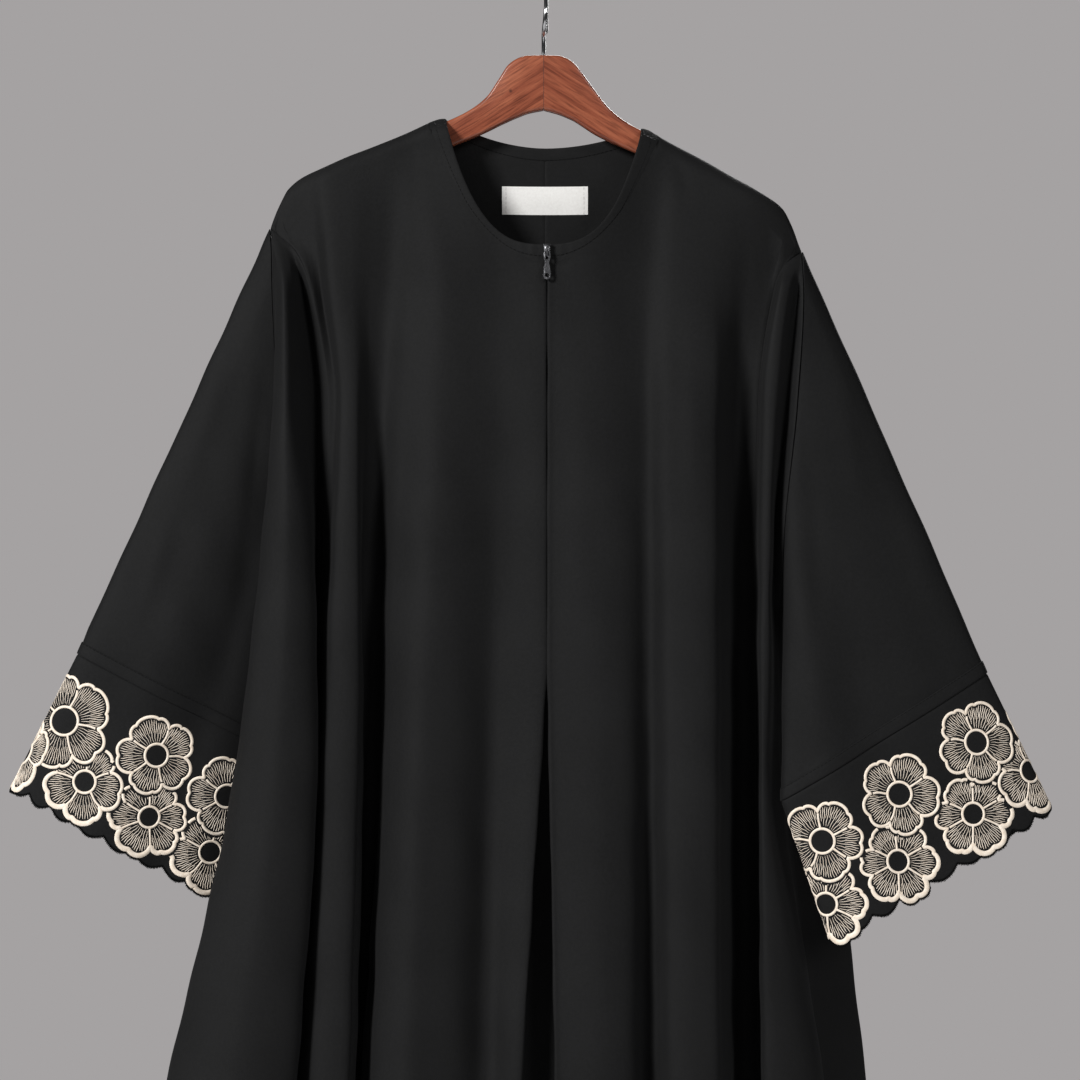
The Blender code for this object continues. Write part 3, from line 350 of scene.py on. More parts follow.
HANGER_CORNER = 6      # steps round each of its rounded corners
HANGER_MIDDLE = -2.3   # place across of the joint and of the hook's stem
HOOK_WIRE = 4.0        # diameter
HOOK_SIDES = 20        # flat sides round it
HOOK_INNER = 18.0      # inner radius
HOOK_STEM = (55.0, 50.0)       # drops of its foot and of the start of its bend
HOOK_TURN = (255, -45, 110)    # from and to these degrees; the stem swings in over the third
HOOK_END = (0.96, 0.84, 0.6, 0.2)      # share of its thickness at its round end

OUTWARD = {"left": -1.0, "right": 1.0}


# ---------------------------------------------------------------- curves on arrays

def smooth_through(knots, values):
    """A smooth function through the values, without overshoot, held level past both ends."""
    knots = np.asarray(knots, float)
    values = np.asarray(values, float)
    steps = np.diff(knots)
    rises = np.diff(values) / steps
    slopes = np.zeros(len(knots))
    slopes[0], slopes[-1] = rises[0], rises[-1]
    for i in range(1, len(knots) - 1):
        before, after = rises[i - 1], rises[i]
        if before * after > 0:
            slopes[i] = 2 * before * after / (before + after)

    def at(places):
        places = np.clip(places, knots[0], knots[-1])
        i = np.clip(np.searchsorted(knots, places, side="right") - 1, 0, len(steps) - 1)
        h = steps[i]
        t = (places - knots[i]) / h
        return (values[i] * (1 + 2 * t) * (1 - t) ** 2 + slopes[i] * h * t * (1 - t) ** 2
                + values[i + 1] * t * t * (3 - 2 * t) + slopes[i + 1] * h * t * t * (t - 1))
    return at


def curve_through(controls, u):
    """Points at u, counted in controls, on centripetal curves; controls is [sample][control][2]."""
    count = controls.shape[1]
    sample = np.arange(len(u))
    i = np.clip(np.floor(u).astype(int), 1, count - 3)
    p0, p1, p2, p3 = (controls[sample, i + k] for k in (-1, 0, 1, 2))

    def knot(before, a, b):
        return before + np.maximum(np.linalg.norm(b - a, axis=1), 1e-4) ** 0.5

    t0 = np.zeros(len(u))
    t1 = knot(t0, p0, p1)
    t2 = knot(t1, p1, p2)
    t3 = knot(t2, p2, p3)
    t = t1 + (u - i) * (t2 - t1)

    def mix(a, b, start, end):
        return ((end - t)[:, None] * a + (t - start)[:, None] * b) / (end - start)[:, None]

    a1, a2, a3 = mix(p0, p1, t0, t1), mix(p1, p2, t1, t2), mix(p2, p3, t2, t3)
    return mix(mix(a1, a2, t0, t2), mix(a2, a3, t1, t3), t1, t2)


def neckline_drop(across, half, top, bottom, flatness, steepness):
    """Drop of a neckline that falls from its top at the half width to its bottom in the middle."""
    reach = np.minimum(np.abs(across) / half, 1.0)
    return top + (bottom - top) * (1 - reach ** flatness) ** steepness


def ease(t):
    """0 to 1 for t from 0 to 1, level at both ends."""
    t = np.clip(t, 0.0, 1.0)
    return t * t * (3 - 2 * t)


# ---------------------------------------------------------------- the garment's surface

class Half:
    """One half of the body: its fold lines from the front opening round to the centre back."""

    def __init__(self, side):
        self.side = side
        self.out = OUTWARD[side]
        points = SHOULDER[side]
        self.first = abs(points[0][0])
        self.arm_across, self.arm_top = points[-1]
        self.shoulder = smooth_through([abs(p[0]) for p in points], [p[1] for p in points])
        self.neck_slope = (points[1][1] - points[0][1]) / abs(points[1][0] - points[0][0])
        self.edge_forward = smooth_through(LEVELS, FRONT_EDGE_FORWARD)
        front = [self.level_line(LEVELS, row) for row in FRONT_FOLDS[side]]
        *fan_rows, side_row = SIDE_FOLDS[side]
        least, share = FAN_FORWARD
        fans = [self.fan_line(row, least + share * row[1][0]) for row in fan_rows]
        self.side_line = self.fan_line(side_row, SIDE_FORWARD * side_row[1][0])
        self.before_side = front + fans
        back_rows = BACK_FOLDS[side] + (CENTRE_BACK,)
        self.after_side = [self.level_line(BACK_LEVELS, row, -1) for row in back_rows]
        self.seam_u = 3 + len(front)
        self.side_u = 3 + len(self.before_side)
        self.centre_u = self.side_u + len(self.after_side)

    def level_line(self, levels, row, facing=1):
        """Functions of the drop for a line's place across and forward."""
        return smooth_through(levels, row[0]), smooth_through(levels, [facing * v for v in row[1]])

    def fan_line(self, row, early_forward):
        """A line that starts at the top of the armhole and spreads within a hand's width."""
        down, sideways = FAN_EARLY
        early = self.arm_top + down * (LEVELS[1] - self.arm_top)
        early_across = self.arm_across + sideways * (row[0][0] - self.arm_across)
        knots = (self.arm_top, early) + LEVELS[1:]
        across = (self.arm_across, early_across) + row[0]
        return smooth_through(knots, across), smooth_through(knots, (0.0, early_forward) + row[1])

    def shoulder_drop(self, across):
        """Drop of the shoulder line, carried on inward over the neck."""
        across = np.abs(across)
        inward = self.shoulder(self.first) - (self.first - across) * self.neck_slope
        return np.where(across < self.first, inward, self.shoulder(across))

    def roll(self, across, drop):
        """0 on the shoulder seam, rising to 1 where the cloth hangs clear of the hanger's top."""
        slope = (self.shoulder_drop(across + self.out) - self.shoulder_drop(across - self.out)) / 2
        below = (drop - self.shoulder_drop(across)) / np.hypot(1, slope)
        short = 1 - np.clip(below / ROLL, 0.0, 1.0)
        return np.sqrt(1 - short * short)

    def armhole_half(self, drop):
        """Half the armhole's width from front to back."""
        t = np.clip((drop - self.arm_top) / (ARMHOLE_END - self.arm_top), 0.0, 1.0)
        return ARMHOLE_HALF * 2 * np.sqrt(t * (1 - t))

    def front_edge(self, drop):
        """Three lines of the pressed front edge: turned-in cloth, edge, and the face beside it."""
        below = np.maximum(drop - ZIP_END, 0.0)
        edge = SLIT + self.out * (SLIT_HALF + below * PLEAT_SPREAD[self.side])
        forward = self.edge_forward(drop)
        share = ease(below / PLEAT_EASE)
        inward = [a + (b - a) * share for a, b in zip(FOLD_IN_ZIP, FOLD_IN_PLEAT)]
        width, rise = EDGE_FACE
        return [(edge + self.out * inward[0], forward - inward[1]), (edge, forward),
                (edge + self.out * width, forward + rise)]

    def section(self, drop, behind):
        """Controls of the level sections; behind picks the back branch of the armhole."""
        points = self.front_edge(drop)
        points += [(across(drop), forward(drop)) for across, forward in self.before_side]
        gap = self.armhole_half(drop)
        side_across, side_forward = self.side_line
        points.append((side_across(drop), side_forward(drop) + (-gap if behind else gap)))
        points += [(across(drop), forward(drop)) for across, forward in self.after_side]
        controls = np.stack([np.stack(np.broadcast_arrays(*p), -1) for p in points], 1)
        end = controls[:, -1:] * (2, 1) - controls[:, -2:-1] * (1, 0)
        end[:, :, 1] = controls[:, -2:-1, 1]
        start = 2 * controls[:, :1] - controls[:, 1:2]
        controls = np.concatenate((start, controls, end), 1)
        share = np.minimum(gap / (ARMHOLE_HALF / 2), 1.0)[:, None]
        beyond = self.side_u + 1 + (-1 if behind else 1)
        into_sleeve = controls[:, self.side_u + 1] + (self.out * ARMHOLE_HALF, 0.0)
        controls[:, beyond] += (into_sleeve - controls[:, beyond]) * share
        return controls

    def flat_points(self, u, drop, behind):
        """Places (across, forward) of columns u in the level sections at the drops."""
        return curve_through(self.section(drop, behind), u + 1)

    def points(self, u, drop, behind):
        """Places on the cloth for arrays of columns and drops, in mm."""
        flat = self.flat_points(u, drop, behind)
        across, forward = flat[:, 0], flat[:, 1]
        return np.stack((across, -forward * self.roll(across, drop), -drop), 1)

    def top_drop(self, across, behind):
        """Drop of the cloth's top edge: the neck seam, and the shoulder past it."""
        width, bottom, *powers = NECK_SEAM["back" if behind else "front"][self.side]
        corner = self.shoulder_drop(np.array([width]))[0]
        neck = neckline_drop(across, width, corner, bottom, *powers)
        return np.where(np.abs(across) < width, neck, self.shoulder_drop(across))

    def column_tops(self, u, behind):
        """Drops at which columns u of the surface meet the top edge."""
        high, low = (np.full(len(u), drop) for drop in TOP_BETWEEN)
        for _ in range(28):
            drop = (high + low) / 2
            above = drop < self.top_drop(self.flat_points(u, drop, behind)[:, 0], behind)
            high = np.where(above, drop, high)
            low = np.where(above, low, drop)
        return (high + low) / 2

    def fine_columns(self, first, last, behind=False):
        """Columns between two fold lines, spaced by their distance apart low on the garment."""
        controls = self.section(np.array([LOW_DROP]), behind)[0, 1:]
        columns = [float(first)]
        for i in range(first, last):
            gap = np.linalg.norm(controls[i + 1] - controls[i])
            count = max(4, int(math.ceil(gap / COLUMN_PITCH)))
            columns += [i + (j + 1) / count for j in range(count)]
        return np.array(columns)


# ---------------------------------------------------------------- meshes

def unit(vectors):
    """The vectors at a length of 1."""
    return vectors / np.maximum(np.linalg.norm(vectors, axis=-1, keepdims=True), 1e-9)


def grid_normals(points, closed=False):
    """Normals of a grid [column][row] of points, pointing to one side of it."""
    if closed:
        wrapped = np.concatenate((points[-1:], points, points[:1]))
        around = np.gradient(wrapped, axis=0)[1:-1]
    else:
        around = np.gradient(points, axis=0)
    return unit(np.cross(np.gradient(points, axis=1), around))


def turned_towards(normals, facing):
    """The normals, all flipped where most of them point away from the direction facing."""
    return normals if np.sum(normals * facing) > 0 else -normals


def add_object(name, data):
    """An object of the scene for a mesh, a light or a camera."""
    made = bpy.data.objects.new(name, data)
    bpy.context.collection.objects.link(made)
    return made


def add_mesh(name, vertices, faces, finish, crisp=60):
    """A smooth object from points in mm; its faces are turned outward."""
    mesh = bpy.data.meshes.new(name)
    mesh.from_pydata((np.asarray(vertices) * MM).tolist(), [], faces)
    work = bmesh.new()
    work.from_mesh(mesh)
    bmesh.ops.recalc_face_normals(work, faces=work.faces)
    work.to_mesh(mesh)
    work.free()
    mesh.shade_smooth()
    mesh.set_sharp_from_angle(angle=math.radians(crisp))
    mesh.materials.append(finish)
    made = add_object(name, mesh)
    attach(made, "garment")
    return made


def shell(name, points, outward, thickness, finish, closed=False):
    """A thin closed wall round a grid [column][row]; outward gives its normals."""
    columns, rows = points.shape[:2]
    half = outward * (np.asarray(thickness) / 2)
    vertices = np.concatenate(((points + half).reshape(-1, 3), (points - half).reshape(-1, 3)))
    inner = columns * rows
    across = np.arange(columns if closed else columns - 1)
    column, row = np.meshgrid(across, np.arange(rows - 1), indexing="ij")
    a = (column * rows + row).ravel()
    b = ((column + 1) % columns * rows + row).ravel()
    outside = np.stack((a, b, b + 1, a + 1), 1)
    faces = outside.tolist() + (outside[:, ::-1] + inner).tolist()
    for end in (0, rows - 1):
        a = across * rows + end
        b = (across + 1) % columns * rows + end
        faces += np.stack((a, b, b + inner, a + inner), 1).tolist()
    if not closed:
        for end in (0, columns - 1):
            a = end * rows + np.arange(rows - 1)
            faces += np.stack((a, a + 1, a + 1 + inner, a + inner), 1).tolist()
    return add_mesh(name, vertices, faces, finish)


# Sections of laid threads: (share of the width, share of the rise)
ROUND_LINE = ((-0.5, -0.25), (-0.34, 0.7), (0.0, 1.0), (0.34, 0.7), (0.5, -0.25))
FLAT_LINE = ((-0.5, -0.5), (-0.28, 0.9), (0.28, 0.9), (0.5, -0.5))


class Threads:
    """Many threads gathered into one mesh, each swept along its own line on the cloth."""

    def __init__(self):
        self.vertices = []
        self.faces = []
        self.count = 0

    def sweep(self, lines, normals, widths, rise, section, closed=False):
        """Adds lines [line][point][3] with their normals and widths [line][point]."""
        total, length = lines.shape[:2]
        if total == 0:
            return
        if closed:
            along = np.roll(lines, -1, 1) - np.roll(lines, 1, 1)
        else:
            along = np.gradient(lines, axis=1)
        sideways = unit(np.cross(normals, along))
        shape = np.array(section)
        rings = (lines[:, :, None] + sideways[:, :, None] * (widths[..., None] * shape[:, 0])[..., None]
                 + normals[:, :, None] * (rise * shape[:, 1])[:, None])
        sides = len(section)
        self.vertices.append(rings.reshape(-1, 3))
        line = np.arange(total)[:, None, None] * length * sides
        step = np.arange(length if closed else length - 1)[None, :, None]
        side = np.arange(sides)[None, None, :]
        following = (step + 1) % length * sides
        beside = (side + 1) % sides
        a = line + step * sides + side
        b = line + step * sides + beside
        c = line + following + beside
        d = line + following + side
        quads = np.stack(np.broadcast_arrays(a, b, c, d), -1).reshape(-1, 4) + self.count
        self.faces += quads.tolist()
        if not closed:
            ends = np.arange(total)[:, None] * length * sides + self.count
            near = ends + np.arange(sides)
            far = near + (length - 1) * sides
            self.faces += near[:, ::-1].tolist() + far.tolist()
        self.count += total * length * sides

    def build(self, name, finish):
        """The mesh of all the threads so far."""
        return add_mesh(name, np.concatenate(self.vertices), self.faces, finish, crisp=75)


def distances(path):
    """How far each point of a path is along it."""
    return np.concatenate(([0.0], np.cumsum(np.linalg.norm(np.diff(path, axis=0), axis=1))))


def along_path(path, values, places):
    """Values along a path of points, at distances down it."""
    reached = distances(path)
    return np.stack([np.interp(places, reached, values[:, k]) for k in range(3)], -1)


def path_length(path):
    """Length of a path of points."""
    return np.linalg.norm(np.diff(path, axis=0), axis=1).sum()


def stitch_row(threads, path, normals, height):
    """Even stitches along a path, lying at a height above it."""
    length, gap, width, rise = STITCH
    whole = path_length(path)
    count = max(int(whole / (length + gap)), 1)
    pitch = whole / count
    starts = (np.arange(count) + 0.5) * pitch - length / 2
    places = starts[:, None] + np.array(STITCH_ALONG) * (length / 3.0)
    lines = along_path(path, path, places)
    facing = unit(along_path(path, normals, places))
    widths = np.tile(np.array(STITCH_WIDTH) * width, (count, 1))
    threads.sweep(lines + facing * height, facing, widths, rise, ROUND_LINE)


def stitching(name, finish, rows):
    """Rows of stitches in one mesh; each is a path, its normals and a height above it."""
    threads = Threads()
    for row in rows:
        stitch_row(threads, *row)
    return threads.build(name, finish)


# ---------------------------------------------------------------- soft relief

def crease_height(points, rows):
    """Sum of soft creases at points; each fades in and out along its own length."""
    sideways, turns = CREASE_BEND
    across, drop = points[..., 0], -points[..., 2]
    height = np.zeros(across.shape)
    for start, end, width, rise in rows:
        run = np.array(end, float) - start
        length = np.hypot(*run)
        along = ((across - start[0]) * run[0] + (drop - start[1]) * run[1]) / length
        beside = ((across - start[0]) * run[1] - (drop - start[1]) * run[0]) / length
        middle = along / length * 2 - 1
        bend = sideways * width * np.sin(turns * middle + 0.01 * length)
        fade = np.clip(1 - middle * middle, 0.0, 1.0) ** 1.5
        height += rise * fade * np.exp(-((beside - bend) / width) ** 2)
    return height


def ripple_height(points):
    """A faint unevenness, longer down the cloth than across it; it is one field over the garment."""
    chance = np.random.default_rng(7)
    rise, pitch = RIPPLE
    height = np.zeros(points.shape[:-1])
    for _ in range(RIPPLE_WAVES):
        direction = chance.normal(size=3) * RIPPLE_LEAN
        height += np.cos(points @ (direction * 2 * math.pi / pitch) + chance.uniform(0, 2 * math.pi))
    return rise * height / 3.0


def relieved(name, points, normals, calm, closed=False):
    """The points raised by creases, on the front, and ripple, times calm; and the new normals."""
    forward = np.clip(-normals[..., 1] * CREASE_FACING, 0.0, 1.0)
    height = crease_height(points, CREASES.get(name, ())) * forward + ripple_height(points)
    moved = points + normals * (height * calm)[..., None]
    return moved, turned_towards(grid_normals(moved, closed), normals)


# ---------------------------------------------------------------- body panels

def fine_rows(tops):
    """Drops of the fine rows of each column, close together over the shoulder."""
    last_top = TOP_ROWS[-1]
    count = int((HEM_DROP - TOP_DROP - last_top) / ROW_PITCH)
    near = tops[:, None] + np.array(TOP_ROWS)[None, :]
    share = np.linspace(0, 1, count + 1)[1:][None, :]
    far = tops[:, None] + last_top + (HEM_DROP - tops[:, None] - last_top) * share
    return np.concatenate((near, far), 1)


def with_seam_columns(points, normals, at_start, at_end):
    """Adds close columns beside a seam, where the cloth dips by a depth; None leaves an edge out."""
    width = SEAM_DIP[0]
    beside, dips = np.array(SEAM_STEPS).T[:, :, None, None]
    for depth, step in ((at_start, 1), (at_end, -1)):
        if depth is not None:
            points, normals = points[::step], normals[::step]
            across = points[1] - points[0]
            share = np.minimum(np.linalg.norm(across, axis=1) * SEAM_REACH / width, 1.0)[:, None]
            made = points[0] + (unit(across) * width * beside - normals[0] * depth * dips) * share
            points = np.concatenate((made, points[1:]))[::step]
            normals = np.concatenate((np.repeat(normals[:1], 3, 0), normals[1:]))[::step]
    return points, normals


def panel(name, half, columns, behind, finish, is_gore=False):
    """A body panel from its top edge, or a gore from just below the armhole's top, to the hem.

    A gore dips where it is sewn to the front and a front where it is sewn to the gore. A back is
    thinned beside the centre-back seam.
    """
    if is_gore:
        tops = np.full(len(columns), half.arm_top + GORE_TOP)
    else:
        tops = half.column_tops(columns, behind)
    drops = fine_rows(tops)
    u = np.repeat(columns[:, None], drops.shape[1], 1)
    points = half.points(u.ravel(), drops.ravel(), behind).reshape(*drops.shape, 3)
    side = 1.0 if behind else -1.0
    normals = turned_towards(grid_normals(points), (0.0, side, 0.0))
    calm = np.clip(np.abs(columns - half.side_u) / CREASE_CALM, 0.0, 1.0)[:, None]
    points, normals = relieved(name, points, normals, calm)
    depths = (SEAM_DIP[1], None) if is_gore else (None, 0.0 if behind else SEAM_DIP[1])
    points, normals = with_seam_columns(points, normals, *depths)
    thickness = np.full((len(points), 1, 1), CLOTH)
    if behind:
        thickness[-3:, 0, 0] *= BACK_GROOVE
    made = shell("crepe_" + name, points, normals, thickness, finish)
    declare(name)
    return points, normals


def hem_row(points, normals):
    """The row of stitches above the hem of a panel."""
    drops = -points[..., 2]
    level = HEM_DROP - HEM_STITCH_UP
    row = int(np.argmin(np.abs(drops[len(drops) // 2] - level)))
    return points[:, row], normals[:, row], CLOTH / 2


# ---------------------------------------------------------------- sleeves and cuffs

def ring_place(turn):
    """Place from outer to inner edge, and side, for turns from 0 to 1 round a flattened ring."""
    share = np.where(turn <= 0.5, 2 * turn, 2 - 2 * turn)
    place = RING_CLOSE * (1 - np.cos(math.pi * share)) / 2 + (1 - RING_CLOSE) * share
    return place, np.where(turn <= 0.5, 1.0, -1.0)


class Sleeve:
    """A sleeve and its cuff, each a flattened tube between straight-edged rings."""

    def __init__(self, half):
        self.half = half
        self.side = half.side
        self.depths = SLEEVE[half.side]["half_depth"]
        self.turn_table = np.linspace(0, 1, 1441)
        ring = self.points(self.turn_table, np.full(len(self.turn_table), 0.5), True)
        self.round_table = distances(ring) / path_length(ring)
        self.facing = 1.0
        front = self.cuff_normals(np.array([0.25]), np.array([0.5]))
        self.facing = -1.0 if front[0, 1] > 0 else 1.0

    def ends(self, place):
        """Points of the armhole line, the cuff seam and the hem, at places across the sleeve."""
        drop = self.half.arm_top + (ARMHOLE_END - UNDERARM_CLEAR - self.half.arm_top) * place
        across, forward = self.half.side_line
        arm = np.stack((across(drop) + self.half.out * ARMHOLE_STEP, -forward(drop), -drop), 1)
        rings = [arm]
        for key in ("seam", "hem"):
            outer, inner = (np.array((p[0], -p[2], -p[1]), float) for p in SLEEVE[self.side][key])
            rings.append(outer + (inner - outer) * place[:, None])
        return rings

    def points(self, turn, share, of_cuff):
        """Places at turns round the ring and shares of the way down the sleeve or the cuff."""
        place, face = ring_place(turn)
        arm, seam, hem = self.ends(place)
        start, end = (seam, hem) if of_cuff else (arm, seam)
        first, last = self.depths[1:] if of_cuff else self.depths[:2]
        deep = (first + (last - first) * share) * 2 * np.sqrt(np.maximum(place * (1 - place), 0.0))
        strength = 1.0 if of_cuff else np.minimum(share * FOLD_START, 1.0)
        fold = sum(height * strength * np.exp(-((place - middle) / width) ** 2)
                   for middle, width, height in SLEEVE_FOLDS[self.side])
        made = start + (end - start) * share[:, None]
        if not of_cuff:
            made[:, 1] = start[:, 1] + (end - start)[:, 1] * share ** SLEEVE_BOW
        made[:, 1] -= face * deep + fold * np.sin(math.pi * place)
        return made

    def lengths(self, turn, of_cuff):
        """Lengths of the sleeve or the cuff at turns round it."""
        arm, seam, hem = self.ends(ring_place(turn)[0])
        return np.linalg.norm(hem - seam if of_cuff else seam - arm, axis=1)

    def grid(self, turns, shares, of_cuff):
        """Points [column][row] for turns and a table of shares [column][row]."""
        all_turns = np.repeat(turns, shares.shape[1])
        return self.points(all_turns, shares.ravel(), of_cuff).reshape(*shares.shape, 3)

    def outward(self, points):
        """Outward normals of a grid round the tube."""
        from_middle = points - points.mean(0, keepdims=True)
        return turned_towards(grid_normals(points, closed=True), from_middle)

    def turn(self, rounds):
        """Turns at shares of the way round the cuff, measured along its cloth."""
        return np.interp(np.mod(rounds, 1.0), self.round_table, self.turn_table)

    def on_cuff(self, rounds, shares):
        """Points at shares of the way round and down the cuff."""
        return self.points(self.turn(rounds), shares, True)

    def cuff_ways(self, rounds, shares):
        """Short steps round and down the cuff, at places on it: 2 * CUFF_STEP of each share."""
        around = self.on_cuff(rounds + CUFF_STEP, shares) - self.on_cuff(rounds - CUFF_STEP, shares)
        down = self.on_cuff(rounds, shares + CUFF_STEP) - self.on_cuff(rounds, shares - CUFF_STEP)
        return around, down

    def cuff_normals(self, rounds, shares):
        """Outward normals of the cuff."""
        return unit(np.cross(*self.cuff_ways(rounds, shares))) * self.facing


class Flower:
    """An embroidered flower: lobed petals round a plain centre, set on a cuff."""

    def __init__(self, sleeve, row, covers, seed):
        self.sleeve = sleeve
        self.round, self.share, self.radius, self.core, turn, count = row
        self.is_lower = self.share > LOWER_SHARE
        self.covers = covers
        self.chance = np.random.default_rng(seed)
        even = 2 * math.pi * np.arange(count) / count
        self.dividers = math.radians(turn) + even + self.chance.uniform(-PETAL_CHANCE, PETAL_CHANCE, count)
        self.is_three_lobed = np.arange(count) % 2 == 0
        ways = sleeve.cuff_ways(np.array([self.round]), np.array([self.share]))
        around, down = (way[0] / (2 * CUFF_STEP) for way in ways)
        self.around_length = np.linalg.norm(around)
        self.lean = float(down @ around) / self.around_length
        self.down_length = math.sqrt(float(down @ down) - self.lean ** 2)

    def on_cuff(self, radius, angle):
        """Shares round and down the cuff, at distances and angles from the flower's middle."""
        beside = radius * np.cos(angle)
        below = radius * np.sin(angle)
        share = below / self.down_length
        return self.round + (beside - self.lean * share) / self.around_length, self.share + share

    def petal(self, angle):
        """The petal that an angle lies in, and its place there from -1 to 1."""
        offset = np.mod(angle - self.dividers[0], 2 * math.pi)
        starts = np.append(self.dividers - self.dividers[0], 2 * math.pi)
        index = np.clip(np.searchsorted(starts, offset, side="right") - 1, 0, len(self.dividers) - 1)
        place = (offset - starts[index]) / (starts[index + 1] - starts[index])
        return index, place * 2 - 1

    def edge(self, angle):
        """Radius of the outline: its petals have three lobes and two, in turn."""
        index, place = self.petal(angle)
        reach = np.abs(place)
        flatness, steepness = SWELL
        swell = np.clip(1 - reach ** flatness, 0.0, 1.0) ** steepness
        end, centre, half = LOBE
        middle = np.sqrt(np.clip(1 - (reach / end) ** 2, 0.0, 1.0))
        beside = np.sqrt(np.clip(1 - ((reach - centre) / half) ** 2, 0.0, 1.0))
        depth, side_height, roundness = LOBES
        three = np.where(reach < end, middle, side_height * beside)
        two = np.abs(np.sin(math.pi * place)) ** roundness
        wave = np.where(self.is_three_lobed[index], three, two)
        rise = (1 - NOTCH_DEPTH) * swell * (1 - depth + depth * wave)
        droop = DROOP * np.sin(angle) if self.is_lower else 0.0
        return self.radius * (NOTCH_DEPTH + rise) * (1 + droop)

    def outline_width(self, angle):
        """Width of the outline's thread, more towards the hem on a lower flower."""
        extra = HEM_OUTLINE * np.clip(np.sin(angle), 0.0, 1.0) ** 0.8 if self.is_lower else 0.0
        return np.full(angle.shape, OUTLINE[0]) + extra

    def holds(self, rounds, shares):
        """True where places on the cuff lie under this flower."""
        share = shares - self.share
        beside = (np.mod(rounds - self.round + 0.5, 1.0) - 0.5) * self.around_length + self.lean * share
        below = share * self.down_length
        radius = np.hypot(beside, below)
        return radius < self.edge(np.arctan2(below, beside)) + OUTLINE[0] / 2

    def shown(self, rounds, shares):
        """True where no other flower lies over places on the cuff."""
        clear = np.ones(rounds.shape, bool)
        for cover in self.covers:
            clear &= ~cover.holds(rounds, shares)
        return clear

    def lay(self, threads, radius, angle, widths, rise, section, closed=False):
        """Sweeps threads along lines [line][point] of radius and angle."""
        rounds, shares = self.on_cuff(radius, angle)
        flat_rounds, flat_shares = rounds.ravel(), shares.ravel()
        lines = self.sleeve.on_cuff(flat_rounds, flat_shares).reshape(*rounds.shape, 3)
        normals = self.sleeve.cuff_normals(flat_rounds, flat_shares).reshape(*rounds.shape, 3)
        threads.sweep(lines + normals * CLOTH / 2, normals, widths, rise, section, closed)

    def spokes(self, start, end, angle, count):
        """Shares along radial lines, their radii and angles, without what other flowers cover."""
        share = np.linspace(0, 1, 13)
        radius = start[:, None] + (end - start)[:, None] * share
        clear = self.shown(*self.on_cuff(radius, angle[:, None] + 0 * radius))
        first = np.argmax(clear, 1)
        last = len(share) - 1 - np.argmax(clear[:, ::-1], 1)
        kept = clear.any(1) & (last > first)
        rows = np.arange(len(angle))
        start, end = radius[rows, first][kept], radius[rows, last][kept]
        share = np.linspace(0, 1, count)
        return share, start[:, None] + (end - start)[:, None] * share, angle[kept][:, None]

    def loop(self, threads, radius, angle, widths, rise):
        """A closed line, or the runs of it that no other flower covers."""
        clear = self.shown(*self.on_cuff(radius, angle))
        if clear.all():
            self.lay(threads, radius[None], angle[None], widths[None], rise, ROUND_LINE, closed=True)
            return
        if not clear.any():
            return
        start = int(np.argmin(clear))
        clear, radius, angle, widths = (np.roll(v, -start) for v in (clear, radius, angle, widths))
        edges = np.flatnonzero(np.diff(np.concatenate(([0], clear.astype(int), [0]))))
        for first, last in zip(edges[::2], edges[1::2]):
            if last - first > 3:
                run = slice(first, last)
                self.lay(threads, radius[None, run], angle[None, run], widths[None, run], rise,
                         ROUND_LINE)

    def embroider(self, threads):
        """Lays the outline, the ring round the centre, the lines between petals and the filling."""
        angle = np.linspace(-math.pi, math.pi, 240, endpoint=False)
        width = self.outline_width(angle)
        self.loop(threads, self.edge(angle) - width / 2, angle, width, OUTLINE[1])

        angle = np.linspace(-math.pi, math.pi, 60, endpoint=False)
        width = np.full(60, RING[0])
        self.loop(threads, self.core + width / 2, angle, width, RING[1])

        start = np.full(len(self.dividers), self.core + RING[0] * DIVIDER_LAP)
        end = self.edge(self.dividers) - OUTLINE[0] * DIVIDER_LAP
        share, radius, angle = self.spokes(start, end, self.dividers, 8)
        bent, thinner = DIVIDER_BEND
        bend = bent * np.sin(math.pi * share) * np.sin(3 * angle)
        widths = np.tile(DIVIDER[0] * (1 - thinner * np.sin(math.pi * share)), (len(angle), 1))
        self.lay(threads, radius, angle + bend, widths, DIVIDER[1], ROUND_LINE)
        self.fill(threads)

    def fill(self, threads):
        """Fine threads that fan out over each petal, more of them towards its end."""
        from_ring, from_divider = STROKE_CLEAR
        pitch, pitch_at = STROKE_PITCH
        sooner, shorter = STROKE_CHANCE
        swing, turns = STROKE_WAVE
        ends = np.append(self.dividers, self.dividers[0] + 2 * math.pi)
        for first, last in zip(ends[:-1], ends[1:]):
            count = max(int((last - first) * self.radius * pitch_at / pitch), 4)
            place = (np.arange(count) + 0.5) / count
            angle = first + (last - first) * place
            short = np.where(np.arange(count) % 2 == 1, STROKE_SHORT, 0.0)
            inside = self.core + RING[0] + from_ring
            outside = self.edge(angle) - self.outline_width(angle) - from_ring
            start = inside + (outside - inside) * (short + self.chance.uniform(*sooner, count))
            start = np.maximum(start, inside)
            beside = np.maximum(np.minimum(place, 1 - place), 1e-3)
            clear_of_dividers = (DIVIDER[0] / 2 + from_divider) / beside
            start = np.maximum(start, clear_of_dividers / (last - first))
            end = outside - self.chance.uniform(0.0, shorter, count)
            kept = end - start > STROKE_LEAST
            _, radius, angle = self.spokes(start[kept], end[kept], angle[kept], len(STROKE_TAPER))
            phase = self.chance.uniform(0, 2 * math.pi, (len(angle), 1))
            wobble = swing * np.sin(radius * turns + phase) / radius
            widths = np.tile(STROKE[0] * np.array(STROKE_TAPER), (len(angle), 1))
            self.lay(threads, radius, angle + wobble, widths, STROKE[1], FLAT_LINE)


